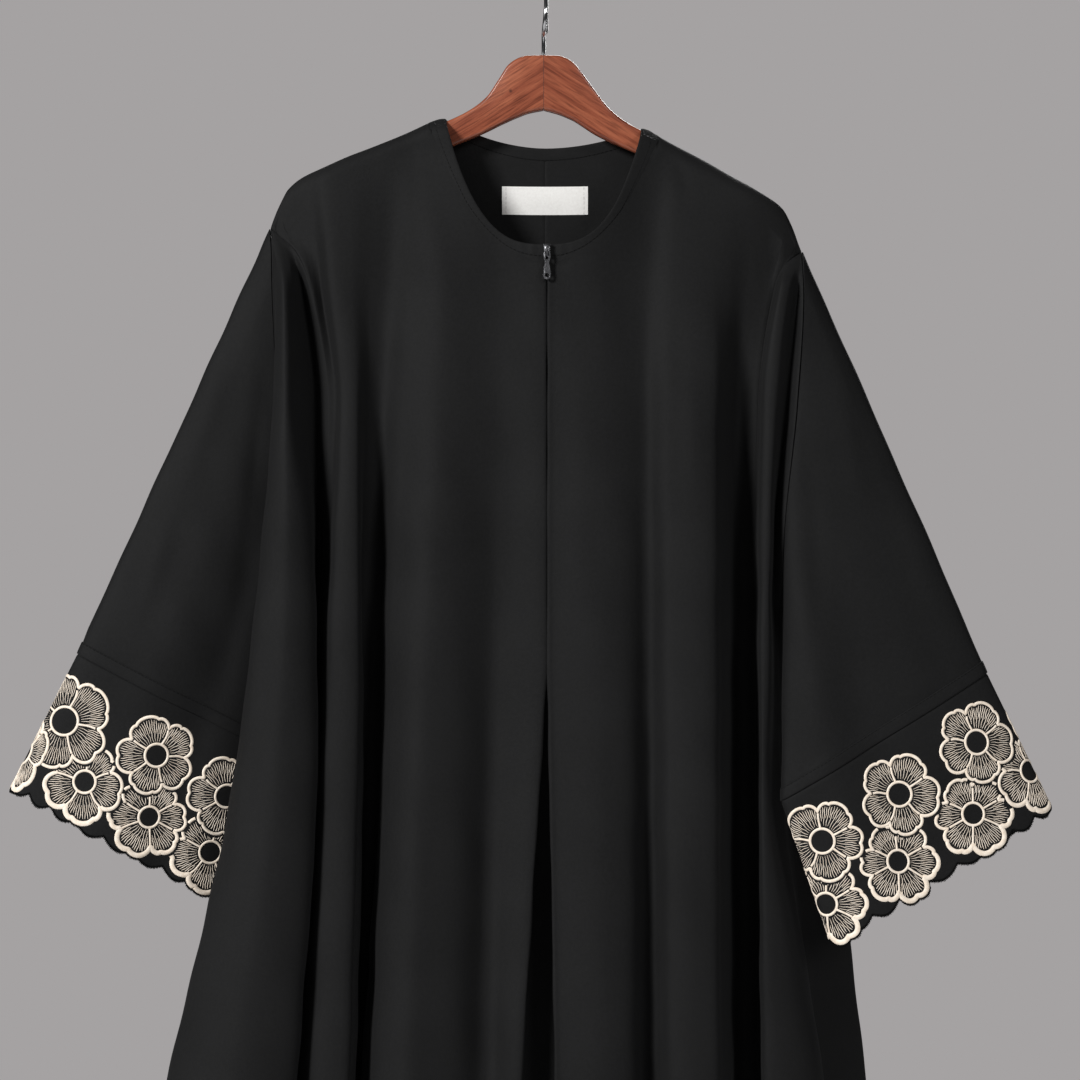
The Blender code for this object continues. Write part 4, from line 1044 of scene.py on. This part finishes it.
def cuff_flowers(sleeve):
    """The flowers of a cuff; each is covered by those before it."""
    flowers = []
    for i, row in enumerate(FLOWERS[sleeve.side]):
        flowers.append(Flower(sleeve, row, list(flowers), 11 + i + 40 * (sleeve.side == "right")))
    return flowers


def cuff_hem(sleeve, rounds, flowers):
    """Shares down the cuff where its hem lies: plain lobes, and the flowers' own outline."""
    turns = sleeve.turn(rounds)
    whole = sleeve.lengths(turns, True)
    lobe = SCALLOP_HEIGHT * np.abs(np.sin(math.pi * turns * SCALLOPS))
    hem = (whole - SCALLOP_HEIGHT / 2 - LOBES_UP + lobe) / whole
    fine = np.linspace(0.0, math.pi, 600)
    for flower in flowers:
        at, share = flower.on_cuff(flower.edge(fine) + HEM_EDGE, fine)
        column = np.round(np.mod(at, 1.0) * len(rounds)).astype(int) % len(rounds)
        np.maximum.at(hem, column, share)
    return hem


def cuff_piece(sleeve, crepe, thread, black):
    """The cuff's cloth, the flowers on it, and the bound edge of its hem."""
    side = sleeve.side
    flowers = cuff_flowers(sleeve)
    rounds = np.arange(CUFF_COLUMNS) / CUFF_COLUMNS
    last = cuff_hem(sleeve, rounds, flowers)
    beside_seam, start, count = CUFF_ROWS
    rows = np.concatenate((beside_seam, np.linspace(start, 1, count)))
    shares = last[:, None] * rows
    points = sleeve.grid(sleeve.turn(rounds), shares, True)
    normals = sleeve.outward(points)
    points[:, 0] -= normals[:, 0] * SEAM_DIP[1]
    points[:, 1] -= normals[:, 1] * SEAM_DIP[1] * 0.4
    thickness = np.full(points.shape[:2], CLOTH)
    thickness[:, -1] = CLOTH * 0.5
    cuff = shell("crepe_cuff_" + side, points, normals, thickness[..., None], crepe, closed=True)

    cream = Threads()
    for flower in flowers:
        flower.embroider(cream)
    embroidery = cream.build("embroidery_" + side, thread)
    binding = hem_binding(sleeve, rounds, last, path_length(points[:, -1]), black)
    declare("cuff_" + side, [embroidery, binding])


def hem_binding(sleeve, rounds, last, length, black):
    """Short black threads over the edge of the hem, which lies at last down the cuff at rounds."""
    edging = Threads()
    chance = np.random.default_rng(5)
    count = int(length / EDGE_PITCH)
    at = (np.arange(count) + 0.5) / count
    level = np.interp(at, rounds, last, period=1.0)
    least, greatest, used = EDGE_REACH
    reach = chance.uniform(least, greatest, count)
    down = sleeve.lengths(sleeve.turn(at), True)
    steps = np.array(EDGE_STEPS)
    below = np.where(steps > 0, steps * reach[:, None] * used, steps)
    shares = level[:, None] + below / down[:, None]
    spread = at[:, None] + np.array((0.0, 0.0, 0.1, 0.3)) * chance.uniform(-1, 1, (count, 1)) / 480
    lines = sleeve.on_cuff(spread.ravel(), shares.ravel()).reshape(count, 4, 3)
    facing = sleeve.cuff_normals(spread.ravel(), shares.ravel()).reshape(count, 4, 3)
    lift = np.array((CLOTH * 0.5, CLOTH * 0.4, 0.1, -0.1))[:, None]
    widths, rise = EDGE_THREAD
    edging.sweep(lines + facing * lift, facing, np.tile(widths, (count, 1)), rise, ROUND_LINE)
    return edging.build("hem_binding_" + sleeve.side, black)


def sleeve_pieces(half, crepe, thread, black):
    """The sleeve, the stitched strip above the cuff seam, and the cuff with its flowers."""
    sleeve = Sleeve(half)
    side = half.side
    turns = np.arange(SLEEVE_COLUMNS) / SLEEVE_COLUMNS
    whole = sleeve.lengths(turns, False)
    end = (whole - CUFF_BAND) / whole
    shares = end[:, None] * np.linspace(0, 1, SLEEVE_ROWS)[None, :]
    points = sleeve.grid(turns, shares, False)
    above, below = SLEEVE_CALM
    calm = np.clip(shares / above, 0.0, 1.0) * np.clip((end[:, None] - shares) / below, 0.0, 1.0)
    points, normals = relieved("sleeve_" + side, points, sleeve.outward(points), calm, True)
    tube = shell("crepe_sleeve_" + side, points, normals, CLOTH, crepe, closed=True)
    declare("sleeve_" + side)

    shares = end[:, None] + (1 - end)[:, None] * np.array(STRIP_ROWS)
    points = sleeve.grid(turns, shares, False)
    normals = sleeve.outward(points)
    points = points + normals * STRIP_RISE
    thickness = BAND_CLOTH * np.array(STRIP_ROUND)[None, :, None]
    band = shell("crepe_strip_" + side, points, normals, thickness, crepe, closed=True)

    row = (whole - CUFF_BAND + CUFF_STITCH_IN) / whole
    around = np.concatenate((np.arange(SLEEVE_COLUMNS), [0]))
    path = (sleeve.points(turns, row, False) + normals[:, 1] * STRIP_RISE)[around]
    row = (path, normals[:, 1][around], BAND_CLOTH * 0.46)
    declare("sleeve_band_" + side, [stitching("strip_stitching_" + side, black, [row])])
    cuff_piece(sleeve, crepe, thread, black)


# ---------------------------------------------------------------- neck bands and small cloth

def surface_points(half, across, drop, behind):
    """Places on the front or back at places across and drops near the neck."""
    first, last = (half.side_u + 1, half.centre_u) if behind else (1, half.seam_u - 2)
    samples = np.linspace(first, last, 80)
    made = np.zeros((len(across), 3))
    for i, (place, level) in enumerate(zip(across, drop)):
        flat = half.flat_points(samples, np.full(len(samples), level), behind)
        order = np.argsort(flat[:, 0])
        forward = np.interp(place, flat[order, 0], flat[order, 1])
        made[i] = (place, -forward * half.roll(place, level), -level)
    return made


def neck_band_grid(half, which):
    """Points [column][row] of half of the front or back band, from its free edge to its seam."""
    behind = which == "back"
    width, bottom, *powers = NECK_EDGE[which][half.side]
    outer_width = NECK_SEAM[which][half.side][0]
    first, last = (half.side_u + NECK_LINE, half.centre_u) if behind else (1, NECK_LINE)
    columns = np.linspace(first, last, 60)
    drops = half.column_tops(columns, behind)
    across = half.flat_points(columns, drops, behind)[:, 0]
    inner = across * width / outer_width
    corner = half.shoulder_drop(np.array([width]))[0]
    inner_drops = neckline_drop(inner, width, corner, bottom, *powers)
    if not behind:
        notch_half, notch_deep = NOTCH
        near = np.clip(1 - np.abs(inner - SLIT) / notch_half, 0.0, 1.0)
        inner_drops = inner_drops + notch_deep * near ** 2
    shares = np.array(NECK_ROWS)
    points = np.zeros((len(columns), len(shares), 3))
    sharpness, drop = NECK_TIP
    tip = drop * (np.abs(inner) / width) ** sharpness
    for j, share in enumerate(shares * (1 + NECK_LAP / (outer_width - width))):
        points[:, j] = surface_points(half, inner + (across - inner) * share,
                                      inner_drops + (drops - inner_drops) * share + 0.02, behind)
        points[:, j, 2] -= tip * max(1 - share, 0.0) ** 2
    return points


def neck_band(half, which, crepe, black):
    """Half of the front or back band, stitched on both faces."""
    points = neck_band_grid(half, which)
    facing = 1.0 if which == "back" else -1.0
    normals = turned_towards(grid_normals(points), (0.0, facing, 0.0))
    height = ripple_height(points)
    if which == "front":
        rise, pitch, reach = PUCKER
        beside = np.abs(points[..., 0] - SLIT)
        height += rise * np.exp(-(beside / reach) ** 2) * np.sin(2 * math.pi * beside / pitch)
    points = points + normals * height[..., None]
    part = which + "_" + half.side
    thickness = BAND_CLOTH * np.array(NECK_ROUND)[None, :, None]
    band = shell("crepe_neck_" + part, points, normals, thickness, crepe)

    path, facing = [], []
    for column, directions in zip(points, normals):
        inward = min(NECK_STITCH_IN, distances(column)[-1] - 1.0)
        path.append(along_path(column, column, inward))
        facing.append(along_path(column, directions, inward))
    path, facing = np.array(path), unit(np.array(facing))
    rows = [(path, directions, BAND_CLOTH * 0.36) for directions in (facing, -facing)]
    declare("neck_band_" + part, [stitching("neck_stitching_" + part, black, rows)])


def flat_strip(name, columns, drops, edges, forward_at, finish):
    """A strip of cloth behind the front edges; edges gives its sides and bow at a drop."""
    points = np.zeros((columns, len(drops), 3))
    for j, drop in enumerate(drops):
        left, right, bow = edges(drop)
        share = np.linspace(0, 1, columns)
        points[:, j, 0] = left + (right - left) * share
        points[:, j, 1] = -(forward_at(drop) + bow * np.sin(math.pi * share))
        points[:, j, 2] = -drop
    normals = turned_towards(grid_normals(points), (0.0, -1.0, 0.0))
    return shell(name, points, normals, CLOTH, finish)


def pleat_underlay(left, right, crepe):
    """The underlay of the inverted pleat, bowed back between the two turned-in edges."""
    def edges(drop):
        first = left.front_edge(drop)[0][0] - UNDERLAY_OVERLAP
        last = right.front_edge(drop)[0][0] + UNDERLAY_OVERLAP
        depth, reach = UNDERLAY_BOW
        return first, last, -depth * min((drop - ZIP_END) / reach, 1.0)

    def forward_at(drop):
        return left.front_edge(drop)[0][1] - UNDERLAY_BEHIND

    drops = np.linspace(ZIP_END + 2, HEM_DROP, 90)
    made = flat_strip("crepe_underlay", 40, drops, edges, forward_at, crepe)
    declare("pleat_panel")


def zip_tape(half, tape, metal):
    """The zip's tape behind the slit, and its two rows of teeth."""
    def edges(_):
        return SLIT - ZIP_TAPE_HALF, SLIT + ZIP_TAPE_HALF, 0.0

    def forward_at(drop):
        return half.edge_forward(drop) - FOLD_IN_ZIP[1] - TAPE_BEHIND

    levels = np.linspace(*TAPE_DROPS, 60)
    made = flat_strip("woven_zip_tape", 13, levels, edges, forward_at, tape)
    drops = np.arange(TAPE_DROPS[0] + TEETH_IN[0], TAPE_DROPS[1] - TEETH_IN[1], TOOTH_PITCH)
    places, widths, rise = TOOTH
    teeth = Threads()
    for side, shift in ((-1.0, 0.0), (1.0, TOOTH_PITCH / 2)):
        level = drops + shift
        forward = np.array([float(forward_at(drop)) for drop in level]) + CLOTH / 2
        lines = np.zeros((len(level), len(places), 3))
        lines[..., 0] = SLIT + side * np.array(places)
        lines[..., 1] = -forward[:, None]
        lines[..., 2] = -level[:, None]
        facing = np.zeros(lines.shape)
        facing[..., 1] = -1.0
        teeth.sweep(lines, facing, np.tile(widths, (len(level), 1)), rise, ROUND_LINE)
    declare("zip_tape", [teeth.build("zip_teeth", metal)])


def label(halves, satin, white):
    """A bare satin label on the inside of the back, stitched down at both ends."""
    left, right, top, bottom = LABEL
    columns, rows = LABEL_GRID
    across = np.linspace(left, right, columns)
    drops = np.linspace(top, bottom, rows)
    points = np.zeros((columns, rows, 3))
    for i, place in enumerate(across):
        half = halves["left" if place < CENTRE_BACK[0][0] else "right"]
        points[i] = surface_points(half, np.full(rows, place), drops, True)
    smooth = np.polynomial.Polynomial.fit(across, points[:, rows // 2, 1], 4)
    level = points[:, :, 1].mean(0) - points[:, :, 1].mean()
    points[:, :, 1] = smooth(across)[:, None] + level - LABEL_INWARD
    sideways = np.sin(math.pi * np.linspace(0, 1, columns))[:, None]
    forward, down = LABEL_BULGE
    points[:, :, 1] -= forward * (sideways * np.sin(math.pi * np.linspace(0, 1, rows)))
    points[:, :, 2] -= down * np.sin(np.linspace(0, 3.0, columns))[:, None]
    normals = turned_towards(grid_normals(points), (0.0, -1.0, 0.0))
    made = shell("satin_label", points, normals, LABEL_CLOTH, satin)
    # the label's stitches use the off-white thread, whose grey is partly painted shade
    rows = [(points[column], normals[column], LABEL_CLOTH / 2) for column in (2, -3)]
    declare("label", [stitching("label_stitching", white, rows)])


def declare(name, others=()):
    """Hides the solid name, which a piece of cloth stands for."""
    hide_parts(name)


# ---------------------------------------------------------------- hanger, hook and zip pull

def loft(name, rings, finish, crisp):
    """A closed solid through rings of as many points each."""
    count = len(rings[0])
    vertices = np.concatenate(rings)
    faces = [tuple(range(count)), tuple(range(len(vertices) - count, len(vertices)))]
    for row in range(len(rings) - 1):
        for i in range(count):
            a, b = row * count + i, row * count + (i + 1) % count
            faces.append((a, b, b + count, a + count))
    return add_mesh(name, vertices, faces, finish, crisp)


def rounded_section(top, bottom, half_thick, radius):
    """A rounded rectangle of (forward, drop) points."""
    ring = []
    corners = ((1, -1, 90), (1, 1, 0), (-1, 1, -90), (-1, -1, 180))
    for forward_sign, drop_sign, start in corners:
        centre_forward = forward_sign * (half_thick - radius)
        centre_drop = (top + bottom) / 2 + drop_sign * ((bottom - top) / 2 - radius)
        for k in range(HANGER_CORNER + 1):
            angle = math.radians(start - 90 * k / HANGER_CORNER)
            ring.append((centre_forward + radius * math.cos(angle),
                         centre_drop - radius * math.sin(angle)))
    return ring


def hanger_half(side, wood):
    """One wooden half, lofted through rounded sections from the joint to the tip."""
    rows = HANGER_ROWS[side]
    reach = [abs(across - rows[0][0]) for across, _, _ in rows]
    top_at = smooth_through(reach, [row[1] for row in rows])
    bottom_at = smooth_through(reach, [row[2] for row in rows])
    stops = np.concatenate(([0.0, 0.25], np.linspace(1.5, reach[-1], 120)))
    middle_thick, arm_thick = HANGER_HALF_THICK
    round_edge, most = HANGER_ROUND
    rings = []
    for stop in stops:
        across = rows[0][0] + OUTWARD[side] * stop
        share = min(abs(across) / HANGER_MIDDLE_HALF, 1.0)
        thick = middle_thick + (arm_thick - middle_thick) * float(ease(share))
        inset = HANGER_JOINT if stop == 0.0 else 0.0
        top, bottom = float(top_at(stop)) + inset, float(bottom_at(stop)) - inset
        radius = min(round_edge, (bottom - top) * most)
        section = rounded_section(top, bottom, thick - inset, radius)
        rings.append([(across, -forward, -drop) for forward, drop in section])
    made = loft("walnut_hanger_" + side, rings, wood, 50)
    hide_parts("hanger_" + side)


def hook(steel):
    """The steel hook: a round wire from the wood up and over, narrowed to a round end."""
    radius = HOOK_INNER + HOOK_WIRE / 2
    first, last, swing = HOOK_TURN
    route = [(HANGER_MIDDLE, 0.0, -drop) for drop in HOOK_STEM]
    for degrees in np.linspace(first, last, 76):
        angle = math.radians(degrees)
        across = HANGER_MIDDLE * float(1 - ease((first - degrees) / swing))
        route.append((across, radius * math.cos(angle), -HOOK_INNER + radius * math.sin(angle)))
    route = np.array(route)
    along = unit(np.gradient(route, axis=0))
    side = np.array((1.0, 0.0, 0.0))
    turns = 2 * math.pi * np.arange(HOOK_SIDES) / HOOK_SIDES
    shrink = np.ones(len(route))
    shrink[-len(HOOK_END):] = HOOK_END
    rings = []
    for point, direction, scale in zip(route, along, shrink):
        side = unit(side - direction * np.dot(side, direction))
        other = np.cross(direction, side)
        offset = np.cos(turns)[:, None] * side + np.sin(turns)[:, None] * other
        rings.append(point + HOOK_WIRE / 2 * scale * offset)
    made = loft("steel_hook", rings, steel, 70)
    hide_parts("hook")


def bevelled_copy(frame, node, name, width, finish, body):
    """A copy of a solid with its edges rounded, in its place."""
    solid = frame["nodes"][node]
    made = add_object(name, solid.data.copy())
    made.data.transform(solid.matrix_world)
    work = bmesh.new()
    work.from_mesh(made.data)
    bmesh.ops.remove_doubles(work, verts=work.verts, dist=1e-6)
    bmesh.ops.dissolve_limit(work, angle_limit=math.radians(4), verts=work.verts, edges=work.edges)
    sharp = [edge for edge in work.edges if edge.calc_face_angle(0.0) > math.radians(35)]
    bmesh.ops.bevel(work, geom=sharp, offset=width * MM, segments=3, affect="EDGES", clamp_overlap=True)
    work.to_mesh(made.data)
    work.free()
    made.data.materials.clear()
    made.data.materials.append(finish)
    made.data.shade_smooth()
    made.data.set_sharp_from_angle(angle=math.radians(40))
    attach(made, body)
    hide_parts(node)


# ---------------------------------------------------------------- materials

RGB_A, RGB_B, RGB_OUT = 6, 7, 2        # a mix node's colour sockets
KNOT = (-0.034, -0.0066, -0.090)       # the small dark knot on the hanger, m
WOOD = ((0.28, (0.15, 0.034, 0.016)), (0.45, (0.27, 0.070, 0.034)),
        (0.58, (0.34, 0.098, 0.048)), (0.75, (0.43, 0.142, 0.072)))
PORES = ((0.34, (0.45, 0.40, 0.38)), (0.52, (1.0, 1.0, 1.0)))
KNOT_WOOD = ((0.3, (0.02, 0.008, 0.006)), (0.7, (0.05, 0.018, 0.012)))


class Finish:
    """A material built from nodes. A method that makes a node gives its output, to feed the next."""

    def __init__(self, name, colour, roughness, **values):
        self.made = bpy.data.materials.new(name)
        self.made.use_nodes = True
        self.tree = self.made.node_tree
        self.shader = self.tree.nodes["Principled BSDF"]
        self.set(self.shader, Base_Color=(*colour, 1), Roughness=roughness, **values)

    def set(self, node, **values):
        """Sets a node's inputs, written with _ for a space."""
        for key, value in values.items():
            node.inputs[key.replace("_", " ")].default_value = value

    def shade(self, socket, output):
        """Feeds an output to the shader."""
        self.tree.links.new(output, self.shader.inputs[socket])

    def add(self, kind, output, feeds=(), options=(), **values):
        """A new node's output; feeds are outputs by input, options the node's own settings."""
        node = self.tree.nodes.new("ShaderNode" + kind)
        for key, value in dict(options).items():
            setattr(node, key, value)
        self.set(node, **values)
        for socket, source in dict(feeds).items():
            self.tree.links.new(source, node.inputs[socket])
        return node.outputs[output]

    def place(self):
        """Places on the object, in metres."""
        return self.add("TexCoord", "Object")

    def mapped(self, vector, **values):
        """Places turned or stretched."""
        return self.add("Mapping", "Vector", {"Vector": vector}, **values)

    def noise(self, vector, scale, detail, **values):
        """Smooth noise from 0 to 1, in patches about as large as 1 / scale."""
        return self.add("TexNoise", "Fac", {"Vector": vector}, Scale=scale, Detail=detail, **values)

    def total(self, first, second):
        """The sum of two values."""
        return self.add("Math", "Value", {0: first, 1: second}, {"operation": "ADD"})

    def spread(self, value, low, high, start=0.0, end=1.0):
        """A value that runs from start to end where another runs from low to high."""
        return self.add("MapRange", "Result", {"Value": value}, From_Min=low, From_Max=high,
                        To_Min=start, To_Max=end)

    def ramp(self, value, stops):
        """Colours over a value; stops are (place, colour)."""
        colours = self.add("ValToRGB", "Color", {"Fac": value})
        elements = colours.node.color_ramp.elements
        for element, (place, colour) in ((elements[0], stops[0]), (elements[1], stops[-1])):
            element.position, element.color = place, (*colour, 1)
        for place, colour in stops[1:-1]:
            elements.new(place).color = (*colour, 1)
        return colours

    def mix(self, feeds, blend="MIX", **values):
        """Two colours, blended."""
        options = {"data_type": "RGBA", "blend_type": blend}
        return self.add("Mix", RGB_OUT, feeds, options, **values)

    def bump(self, height, strength, distance):
        """Raises the surface a little by a height, in its shading."""
        self.shade("Normal", self.add("Bump", "Normal", {"Height": height}, Strength=strength,
                                      Distance=distance))


def cloth_material(name, dark, light, roughness, sheen, gloss, pitch, depth):
    """Woven cloth: a fine grained weave, a coarser mottle and uneven dye, with a little sheen."""
    look = Finish(name, light, roughness, Sheen_Weight=sheen, Sheen_Roughness=0.5,
                  Specular_IOR_Level=gloss)
    place = look.place()
    grain = look.noise(place, 1 / pitch, 3.0, Roughness=0.6)
    weave = look.total(grain, look.noise(place, 0.22 / pitch, 2.0))
    dyed = look.total(weave, look.noise(place, 9.0, 2.0))
    look.shade("Base Color", look.ramp(look.spread(dyed, 1.1, 1.9), ((0.0, dark), (1.0, light))))
    look.bump(weave, 0.45, depth)
    return look.made


def thread_material(name, dark, light, roughness, gloss):
    """Twisted thread, with fine ridges and slight changes of tone along it."""
    look = Finish(name, light, roughness, Specular_IOR_Level=gloss)
    place = look.place()
    tone = look.noise(place, 260.0, 2.0)
    look.shade("Base Color", look.ramp(tone, ((0.35, dark), (0.65, light))))
    look.bump(look.noise(place, 1500.0, 2.0), 0.5, 0.00025)
    return look.made


def walnut_material(name, lean):
    """Varnished walnut with its grain leaning to one side, and a small knot on the left half."""
    look = Finish(name, (0.3, 0.1, 0.05), 0.32, Coat_Weight=0.3, Coat_Roughness=0.3)
    place = look.place()
    turned = look.mapped(place, Rotation=(0.0, math.radians(lean), 0.0))
    stretched = look.mapped(turned, Scale=(8.0, 90.0, 170.0))
    fine = look.mapped(turned, Scale=(45.0, 600.0, 900.0))
    bands = look.noise(stretched, 1.0, 5.0, Roughness=0.62, Distortion=0.6)
    pores = look.noise(fine, 1.0, 3.0)
    grain = look.mix({RGB_A: look.ramp(bands, WOOD), RGB_B: look.ramp(pores, PORES)}, "MULTIPLY",
                     Factor=0.75)
    knot = look.add("VectorMath", "Value", {0: place}, {"operation": "DISTANCE"})
    knot.node.inputs[1].default_value = KNOT
    dark = look.spread(knot, 0.0006, 0.0024, 0.85, 0.0)
    spotted = look.mix({"Factor": dark, RGB_A: grain, RGB_B: look.ramp(pores, KNOT_WOOD)})
    look.shade("Base Color", spotted)
    look.bump(pores, 0.12, 0.0002)
    return look.made


def metal_material(name, dark, light, roughness, brush):
    """Metal with faint brushed or cast unevenness."""
    look = Finish(name, light, roughness, Metallic=1.0)
    wear = look.noise(look.mapped(look.place(), Scale=brush), 1.0, 3.0)
    look.shade("Base Color", look.ramp(wear, ((0.35, dark), (0.65, light))))
    look.shade("Roughness", look.spread(wear, 0.3, 0.7, roughness * 0.8, roughness * 1.25))
    look.bump(wear, 0.08, 0.0001)
    return look.made


# ---------------------------------------------------------------- light, floor and camera

CAMERA = (-0.0058, -3.0, -0.5201)      # m
LENS = 104.2           # mm, on a sensor as wide as SENSOR
SENSOR = 36.0
FLOOR = (1.62, 3.0, 96)        # drop and radius, m, and sides
FLOOR_COLOUR = (0.62, 0.62, 0.63)
SURROUND_SEEN = (0.376, 0.361, 0.362)
SURROUND_LIGHT = (0.036, 0.036, 0.037)

# Area lights: name, place and target, m, diameter, m, and power, W
LIGHTS = (
    ("left_key", (-5.3, -5.4, 2.8), (0, 0, -0.55), 2.0, 740),
    ("right_key", (4.9, -5.8, 2.8), (0, 0, -0.55), 2.5, 180),
    ("rear", (0.6, 3.2, 1.2), (0, 0, -0.7), 1.8, 70),
)


def camera():
    """The camera level in front of the hanger, square to the garment."""
    data = bpy.data.cameras.new("camera")
    data.lens = LENS
    data.sensor_width = SENSOR
    data.clip_end = 50.0
    made = add_object("camera", data)
    made.location = CAMERA
    made.rotation_euler = (math.radians(90), 0, 0)
    bpy.context.scene.camera = made


def area_light(name, place, target, size, power):
    """A round light at a place, turned to a target."""
    data = bpy.data.lights.new(name, "AREA")
    data.shape = "DISK"
    data.size = size
    data.energy = power
    made = add_object(name, data)
    made.location = place
    made.rotation_euler = (Vector(target) - Vector(place)).to_track_quat("-Z", "Y").to_euler()


def surround(seen, light):
    """An even grey surround, seen at one level and lighting the scene at a lower one."""
    world = bpy.data.worlds.new("surround")
    world.use_nodes = True
    tree = world.node_tree
    shown = tree.nodes["Background"]
    shown.inputs["Color"].default_value = (*seen, 1)
    dim = tree.nodes.new("ShaderNodeBackground")
    dim.inputs["Color"].default_value = (*light, 1)
    rays = tree.nodes.new("ShaderNodeLightPath")
    mixed = tree.nodes.new("ShaderNodeMixShader")
    tree.links.new(rays.outputs["Is Camera Ray"], mixed.inputs["Fac"])
    tree.links.new(dim.outputs["Background"], mixed.inputs[1])
    tree.links.new(shown.outputs["Background"], mixed.inputs[2])
    tree.links.new(mixed.outputs["Shader"], tree.nodes["World Output"].inputs["Surface"])
    bpy.context.scene.world = world


def studio():
    """Soft lights from the left and the right front, one behind, a grey surround, a pale floor."""
    bpy.context.scene.view_settings.view_transform = "Standard"
    surround(SURROUND_SEEN, SURROUND_LIGHT)
    for row in LIGHTS:
        area_light(*row)
    drop, reach, sides = FLOOR
    mesh = bpy.data.meshes.new("floor")
    turns = [2 * math.pi * i / sides for i in range(sides)]
    corners = [(reach * math.cos(a), reach * math.sin(a), -drop) for a in turns]
    mesh.from_pydata(corners, [], [tuple(range(sides))])
    mesh.materials.append(Finish("pale_floor", FLOOR_COLOUR, 0.8).made)
    add_object("floor", mesh)


# ---------------------------------------------------------------- the whole

def garment(crepe, black, thread, satin, white, metal):
    """All the cloth, and what is sewn on it."""
    halves = {side: Half(side) for side in OUTWARD}
    hems = []
    for side, half in halves.items():
        front = half.fine_columns(0, half.seam_u)
        gore = half.fine_columns(half.seam_u, half.side_u)
        back = half.fine_columns(half.side_u, half.centre_u, True)
        pieces = [panel("front_" + side, half, front, False, crepe),
                  panel("side_" + side, half, gore, False, crepe, is_gore=True),
                  panel("back_" + side, half, back, True, crepe)]
        hems += [hem_row(points, normals) for points, normals in pieces]
        for which in ("front", "back"):
            neck_band(half, which, crepe, black)
        sleeve_pieces(half, crepe, thread, black)
    stitching("hem_stitching", black, hems)
    pleat_underlay(halves["left"], halves["right"], crepe)
    zip_tape(halves["left"], crepe, metal)
    label(halves, satin, white)


# Colours of each finish: dark, light
CREPE = (0.0058, 0.0058, 0.0059), (0.0098, 0.0098, 0.0100)
# black thread, set darker than the crepe: the thread is black, and the extra darkness is painted shade of
# the sunken stitches
BLACK_THREAD_WITH_PAINTED_SHADE = (0.002, 0.002, 0.002), (0.005, 0.005, 0.005)
CREAM_THREAD = (0.86, 0.73, 0.59), (0.97, 0.86, 0.73)
SATIN = (0.78, 0.76, 0.73), (0.90, 0.89, 0.86)
# off-white thread, set greyer than the satin: the thread is off-white, and the greyness is painted shade
# along the label's stitch lines
WHITE_THREAD_WITH_PAINTED_SHADE = (0.50, 0.48, 0.46), (0.66, 0.64, 0.61)
DARK_METAL = (0.16, 0.16, 0.17), (0.26, 0.26, 0.27)
STEEL = (0.55, 0.55, 0.56), (0.72, 0.72, 0.73)
GRAIN_LEAN = 32.0      # degrees, up towards the middle


def main():
    """Loads the frame and dresses it."""
    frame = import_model()
    camera()
    studio()
    crepe = cloth_material("crepe", *CREPE, 0.72, 0.024, 0.13, 0.0006, 0.0003)
    # the thread's darkness below the crepe is partly painted shade of its sunken stitches
    black = thread_material("black_thread_with_painted_shade", *BLACK_THREAD_WITH_PAINTED_SHADE, 0.7, 0.05)
    thread = thread_material("cream_thread", *CREAM_THREAD, 0.5, 0.45)
    satin = cloth_material("satin", *SATIN, 0.38, 0.2, 0.16, 0.0005, 0.00008)
    # the off-white thread's greyness is partly painted shade along the stitch lines
    white = thread_material("white_thread_with_painted_shade", *WHITE_THREAD_WITH_PAINTED_SHADE, 0.5, 0.3)
    dark = metal_material("dark_metal", *DARK_METAL, 0.36, (900, 900, 900))
    steel = metal_material("steel", *STEEL, 0.16, (300, 300, 60))
    garment(crepe, black, thread, satin, white, dark)
    for side, out in OUTWARD.items():
        hanger_half(side, walnut_material("walnut_" + side, -out * GRAIN_LEAN))
    hook(steel)
    bevelled_copy(frame, "zip_slider", "cast_slider", 0.3, dark, "garment")
    bevelled_copy(frame, "zip_pull", "cast_pull", 0.28, dark, "pull")


main()
